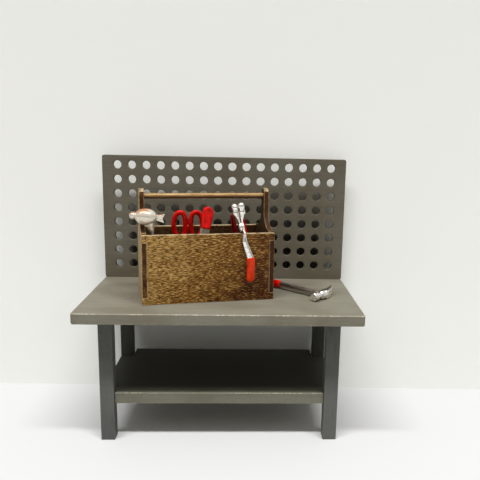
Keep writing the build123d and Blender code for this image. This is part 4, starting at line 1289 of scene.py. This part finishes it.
def bow_point(angle, side):
    """Middle of the bow's tube at an angle, flattened on the side that faces the other bow."""
    reach_x = BOW_WIDTH / 2 - BOW_TUBE
    reach_z = BOW_HEIGHT / 2 - BOW_TUBE
    out = cos(angle)
    bent = out if out > 0 else -abs(out) ** BOW_SQUARE
    return Vector((side * (bow_middle + reach_x * bent), 0, BOW_RISE + reach_z * sin(angle)))


def closed_path(points):
    """Places of a tube's ovals along a closed path in X and Z."""
    places = []
    for i, point in enumerate(points):
        way = (points[(i + 1) % len(points)] - points[i - 1]).normalized()
        depth = Vector((0, 1, 0))
        places.append(Matrix.Translation(point) @ axes(depth, way.cross(depth), way).to_4x4())
    return places


for word, side in (("right", 1), ("left", -1)):
    back = -side * BLADE_WIDTH / 2
    blade_outline = [
        (back, 0), (back, -BLADE_HEEL), (back + side * POINT_INSET, -BLADE_LENGTH), (-back, 0),
    ]
    shank_top = BOW_RISE - BOW_HEIGHT / 2 + BOW_TUBE
    shank_out = side * (bow_middle - BOW_TUBE)
    shank_outline = [(-SHANK_HALF, 0), (SHANK_HALF, 0), (max(shank_out, side * bow_middle), shank_top),
                     (min(shank_out, side * bow_middle), shank_top)]
    steel = blank()
    lap_start = (0, LAP_GAP / 2 if side > 0 else -LAP_GAP / 2 - SNIPS_LAP, 0)
    for outline in (blade_outline, shank_outline):
        board(steel, outline, SNIPS_LAP, FRONTAL, lap_start)
    drum(steel, lap_start, (0, lap_start[1] + SNIPS_LAP, 0), SNIPS_BOSS, SNIPS_BOSS)
    face_out(steel)
    ease(steel, crisp(steel, least=60), BLADE_EASE, segments=1)
    new_piece(f"snips_{word}_blade", steel, SMOOTH_METAL, SNIPS_PLACE)
    bow = blank()
    path = [bow_point(2 * pi * i / BOW_STEPS, side) for i in range(BOW_STEPS)]
    rings = [(matrix, BOW_TUBE, BOW_TUBE) for matrix in closed_path(path)]
    tube(bow, rings, steps=BOW_TUBE_STEPS, closed=True)
    new_piece(f"snips_{word}_bow", bow, RED_DIP, SNIPS_PLACE)
rivet("snips_rivet", SNIPS_LAP, SNIPS_PLACE)

# %% [markdown]
# The chisel stands between the snips and the front board. Its handle is a flat red paddle with a rounded
# end and a shallow panel sunk into each face, and its blade is a satin steel strip with a ground edge. One
# inset leaves a frame round the panel and a second one sinks it, which a drawn line could not do at a low
# angle.

# %% Chisel
CHISEL_LEAN = radians(9.0)
CHISEL_WIDTH = 3.8
CHISEL_THICK = 1.0
CHISEL_LENGTH = 29.0  # up to the handle
CHISEL_TANG = 1.0  # inside the handle
CHISEL_BEVEL = 2.5
CHISEL_EDGE = 0.2
CHISEL_EASE = 0.1
PADDLE_NECK = 2.0
PADDLE_HALF = 2.3
PADDLE_LENGTH = 9.6
PADDLE_SWELL = 4.3
PADDLE_THICK = 3.2
PADDLE_EASE = 0.55
PANEL_INSET = 0.55
PANEL_SINK = 0.28
chisel_axes = BOX_AXES @ Matrix.Rotation(CHISEL_LEAN, 3, "Y")
CHISEL_PLACE = standing(chisel_axes, "chisel_blade")

paddle_side = [(PADDLE_NECK, 0), (PADDLE_HALF, PADDLE_SWELL)]
paddle_side += arc((0, PADDLE_LENGTH - PADDLE_HALF), PADDLE_HALF, PADDLE_HALF, 0, 90)
paddle = blank()
board(paddle, mirrored(paddle_side), PADDLE_THICK, FRONTAL, (0, -PADDLE_THICK / 2, CHISEL_LENGTH))
face_out(paddle)
ease(paddle, crisp(paddle, least=70), PADDLE_EASE, segments=4)
panels = [f for f in paddle.faces if abs(f.normal.y) > FOLLOWS]
bmesh.ops.inset_region(paddle, faces=panels, thickness=PANEL_INSET, depth=0.0)
bmesh.ops.inset_region(paddle, faces=panels, thickness=PANEL_SINK, depth=-PANEL_SINK)
new_piece("chisel_handle", paddle, RED_DIP, CHISEL_PLACE)

strip = block(
    (-CHISEL_WIDTH / 2, -CHISEL_THICK / 2, 0),
    (CHISEL_WIDTH / 2, CHISEL_THICK / 2, CHISEL_LENGTH + CHISEL_TANG),
)
bmesh.ops.bisect_plane(
    strip, geom=list(strip.verts) + list(strip.edges) + list(strip.faces),
    plane_co=(0, CHISEL_THICK / 2 - CHISEL_EDGE, 0),
    plane_no=(0, -CHISEL_BEVEL, CHISEL_EDGE - CHISEL_THICK), clear_outer=True,
)
bmesh.ops.contextual_create(strip, geom=[e for e in strip.edges if e.is_boundary])
ease(strip, crisp(strip, least=60), CHISEL_EASE)
even_shading(new_piece("chisel_blade", strip, SATIN_STEEL, CHISEL_PLACE))

# %% [markdown]
# Both pairs of pliers are one pattern: two halves that lap at a rivet, with a lobed jaw at one end and a
# handle with a dipped grip at the other. A half is cast, so its boss, neck, lobes and handle are melted
# together as the hammer heads were. One outer handle has been bent by play, so its ovals are moved sideways
# along a few bends.

# %% Halves and grips of pliers
BOSS_RADIUS = 2.1
BOSS_EASE = 0.1
LAP_THICK = 0.95
NECK_WIDTH = 2.2
NECK_FLARE = (  # height, share of the width, half of the thickness
    (0.4, 1.0, 0.45), (2.4, 0.95, 0.52), (3.7, 1.0, 0.72), (5.2, 1.05, 1.1), (6.5, 1.1, 1.35)
)
JAW_REACH = 10.6
JAW_WIDTH = 2.7
JAW_THICK = 2.9
JAW_LOBES = 2
LOBE_HEIGHT = 3.3
LOBE_OVERLAP = 0.9
LOBE_SHRINK = 0.05  # from one lobe to the next
JAW_CORE = 1.2  # radius of the round bar that fills the waist between the lobes
PLIERS_VOXEL = 0.1
PLIERS_SMOOTHING = 3
GRIP_START = 13.3  # below the rivet
GRIP_END = 23.8
GRIP_WALL = 0.3
GRIP_TOE_IN = 0.3
HANDLE_THICK = 0.85
HANDLE_HALF = 1.55
HANDLE_ROOT = 0.9  # below and beside the rivet
HANDLE_PATH = (  # below the rivet, in from the spread, share of the lap's offset, half of the width
    (BOSS_RADIUS, 0.9, 1.0, 0.57), (4.0, 0.2, 0.8, 0.95), (6.0, 0.0, 0.5, 1.15), (9.5, 0.0, 0.25, 1.35),
    (11.5, 0.0, 0.0, 1.45), (GRIP_START, 0.0, 0.0, HANDLE_HALF), (GRIP_START + 1.0, 0.0, 0.0, HANDLE_HALF),
)
HANDLE_BENDS = ((BOSS_RADIUS, 0.0), (5.0, 0.55), (14.3, -1.0), (GRIP_END, 0.5))  # below the rivet, sideways
PLIERS_SWELL = (  # below the rivet, share of the grip's width
    (GRIP_START, 0.86), (GRIP_START + 0.25, 0.97), (GRIP_START + 0.8, 1.0), (16.5, 0.96), (20.0, 1.0),
    (22.6, 0.99), (23.3, 0.9), (23.65, 0.74), (GRIP_END, 0.5),
)


def swayed(down, bent):
    """Sideways place of a handle so far below the rivet, smooth from bend to bend if it is bent."""
    for (start, first), (end, last) in zip(HANDLE_BENDS, HANDLE_BENDS[1:]):
        if start <= down <= end:
            share = (1 - cos(pi * (down - start) / (end - start))) / 2
            return bent * (first + (last - first) * share)
    return 0.0


def pliers_half(node, side, spread, bent, matrix):
    """Boss, flared neck, lobed jaw and handle of one half, melted into a cast skin."""
    bm = blank()
    inner = side * LAP_GAP / 2
    outer = side * (LAP_GAP / 2 + LAP_THICK)
    lap = (inner + outer) / 2
    drum(bm, (0, inner, 0), (0, outer, 0), BOSS_RADIUS, BOSS_RADIUS - BOSS_EASE)
    tube(bm, [
        (level_at(0, side * (LAP_GAP + half_thick), height), NECK_WIDTH / 2 * share, half_thick)
        for height, share, half_thick in NECK_FLARE
    ])
    jaw_y = side * (LAP_GAP + JAW_THICK) / 2
    lobe_heights = [
        JAW_REACH - LOBE_HEIGHT / 2 - lobe * (LOBE_HEIGHT - LOBE_OVERLAP) for lobe in range(JAW_LOBES)
    ]
    for lobe, height in enumerate(lobe_heights):
        shrink = 1 - LOBE_SHRINK * lobe
        lump(bm, (0, jaw_y, height), (JAW_WIDTH / 2 * shrink, JAW_THICK / 2 * shrink, LOBE_HEIGHT / 2))
    drum(bm, (0, jaw_y, lobe_heights[0]), (0, jaw_y, lobe_heights[-1]), JAW_CORE, JAW_CORE)
    sections = [(level_at(side * HANDLE_ROOT, lap, -HANDLE_ROOT), HANDLE_THICK, LAP_THICK / 2)]
    for down, inset, share, half_width in HANDLE_PATH:
        x = side * (spread - inset)
        sections.append((level_at(x, lap * share + swayed(down, bent), -down), HANDLE_THICK, half_width))
    tube(bm, sections)
    face_out(bm)
    cast(new_piece(node, bm, CAST_METAL, matrix), PLIERS_VOXEL, PLIERS_SMOOTHING)


def pliers_grip(node, side, spread, bent, material, matrix):
    """Dipped grip with a thick lip, a faint waist and a rounded end."""
    bm = blank()
    thick = HANDLE_THICK + GRIP_WALL
    width = HANDLE_HALF + GRIP_WALL
    sections = []
    for down, share in PLIERS_SWELL:
        x = side * (spread - GRIP_TOE_IN * (down - GRIP_START) / (GRIP_END - GRIP_START))
        sections.append((level_at(x, swayed(down, bent), -down), thick * share, width * share))
    tube(bm, sections)
    new_piece(node, bm, material, matrix)


print("pliers helpers ready")

# %% [markdown]
# One pair straddles the front board, so its rivet lies along the board and it is seen edge-on, with its jaws
# side by side. It is the pair with the bent outer handle. The other pair stands on its jaws in the box, with
# its grips up. Only the axes, the spread of the handles and the colour of the grips differ, so one loop
# makes both.

# %% Both pairs of pliers
RIM_SPREAD = 3.3  # handle from the middle, where the pliers straddle the board
BOX_SPREAD = 2.3
BOX_PLIERS_LEAN = radians(12.0)

rim_rivet_way = -Vector(JOINTS["rim_pliers_pivot"]["axis"])
rim_axes = axes(box_depth_way, rim_rivet_way, box_depth_way.cross(rim_rivet_way))
RIM_PLIERS_PLACE = hinged(rim_axes, "rim_pliers_pivot")
box_pliers_jaws = BOX_AXES @ Vector((sin(BOX_PLIERS_LEAN), 0, -cos(BOX_PLIERS_LEAN)))
box_rivet_way = Vector(JOINTS["box_pliers_pivot"]["axis"])
box_pliers_axes = axes(box_rivet_way.cross(box_pliers_jaws), box_rivet_way, box_pliers_jaws)
BOX_PLIERS_PLACE = hinged(box_pliers_axes, "box_pliers_pivot")
for name, words, spread, matrix, dips in (
    ("rim_pliers", ("inner", "outer"), RIM_SPREAD, RIM_PLIERS_PLACE, (ORANGE_DIP, ORANGE_DIP)),
    # the left grip of the pair in the box takes the darker dip, as painted shade
    ("box_pliers", ("right", "left"), BOX_SPREAD, BOX_PLIERS_PLACE, (RED_DIP, SHADED_DIP)),
):
    for word, side, dip in zip(words, (1, -1), dips):
        bent = 1.0 if word == "outer" else 0.0
        pliers_half(f"{name}_{word}_half", side, spread, bent, matrix)
        pliers_grip(f"{name}_{word}_grip", side, spread, bent, dip, matrix)
    rivet(f"{name}_rivet", LAP_THICK, matrix)

# %% [markdown]
# The dressed toy has to be as large as the solid model.

# %% Finish
bpy.context.view_layer.update()
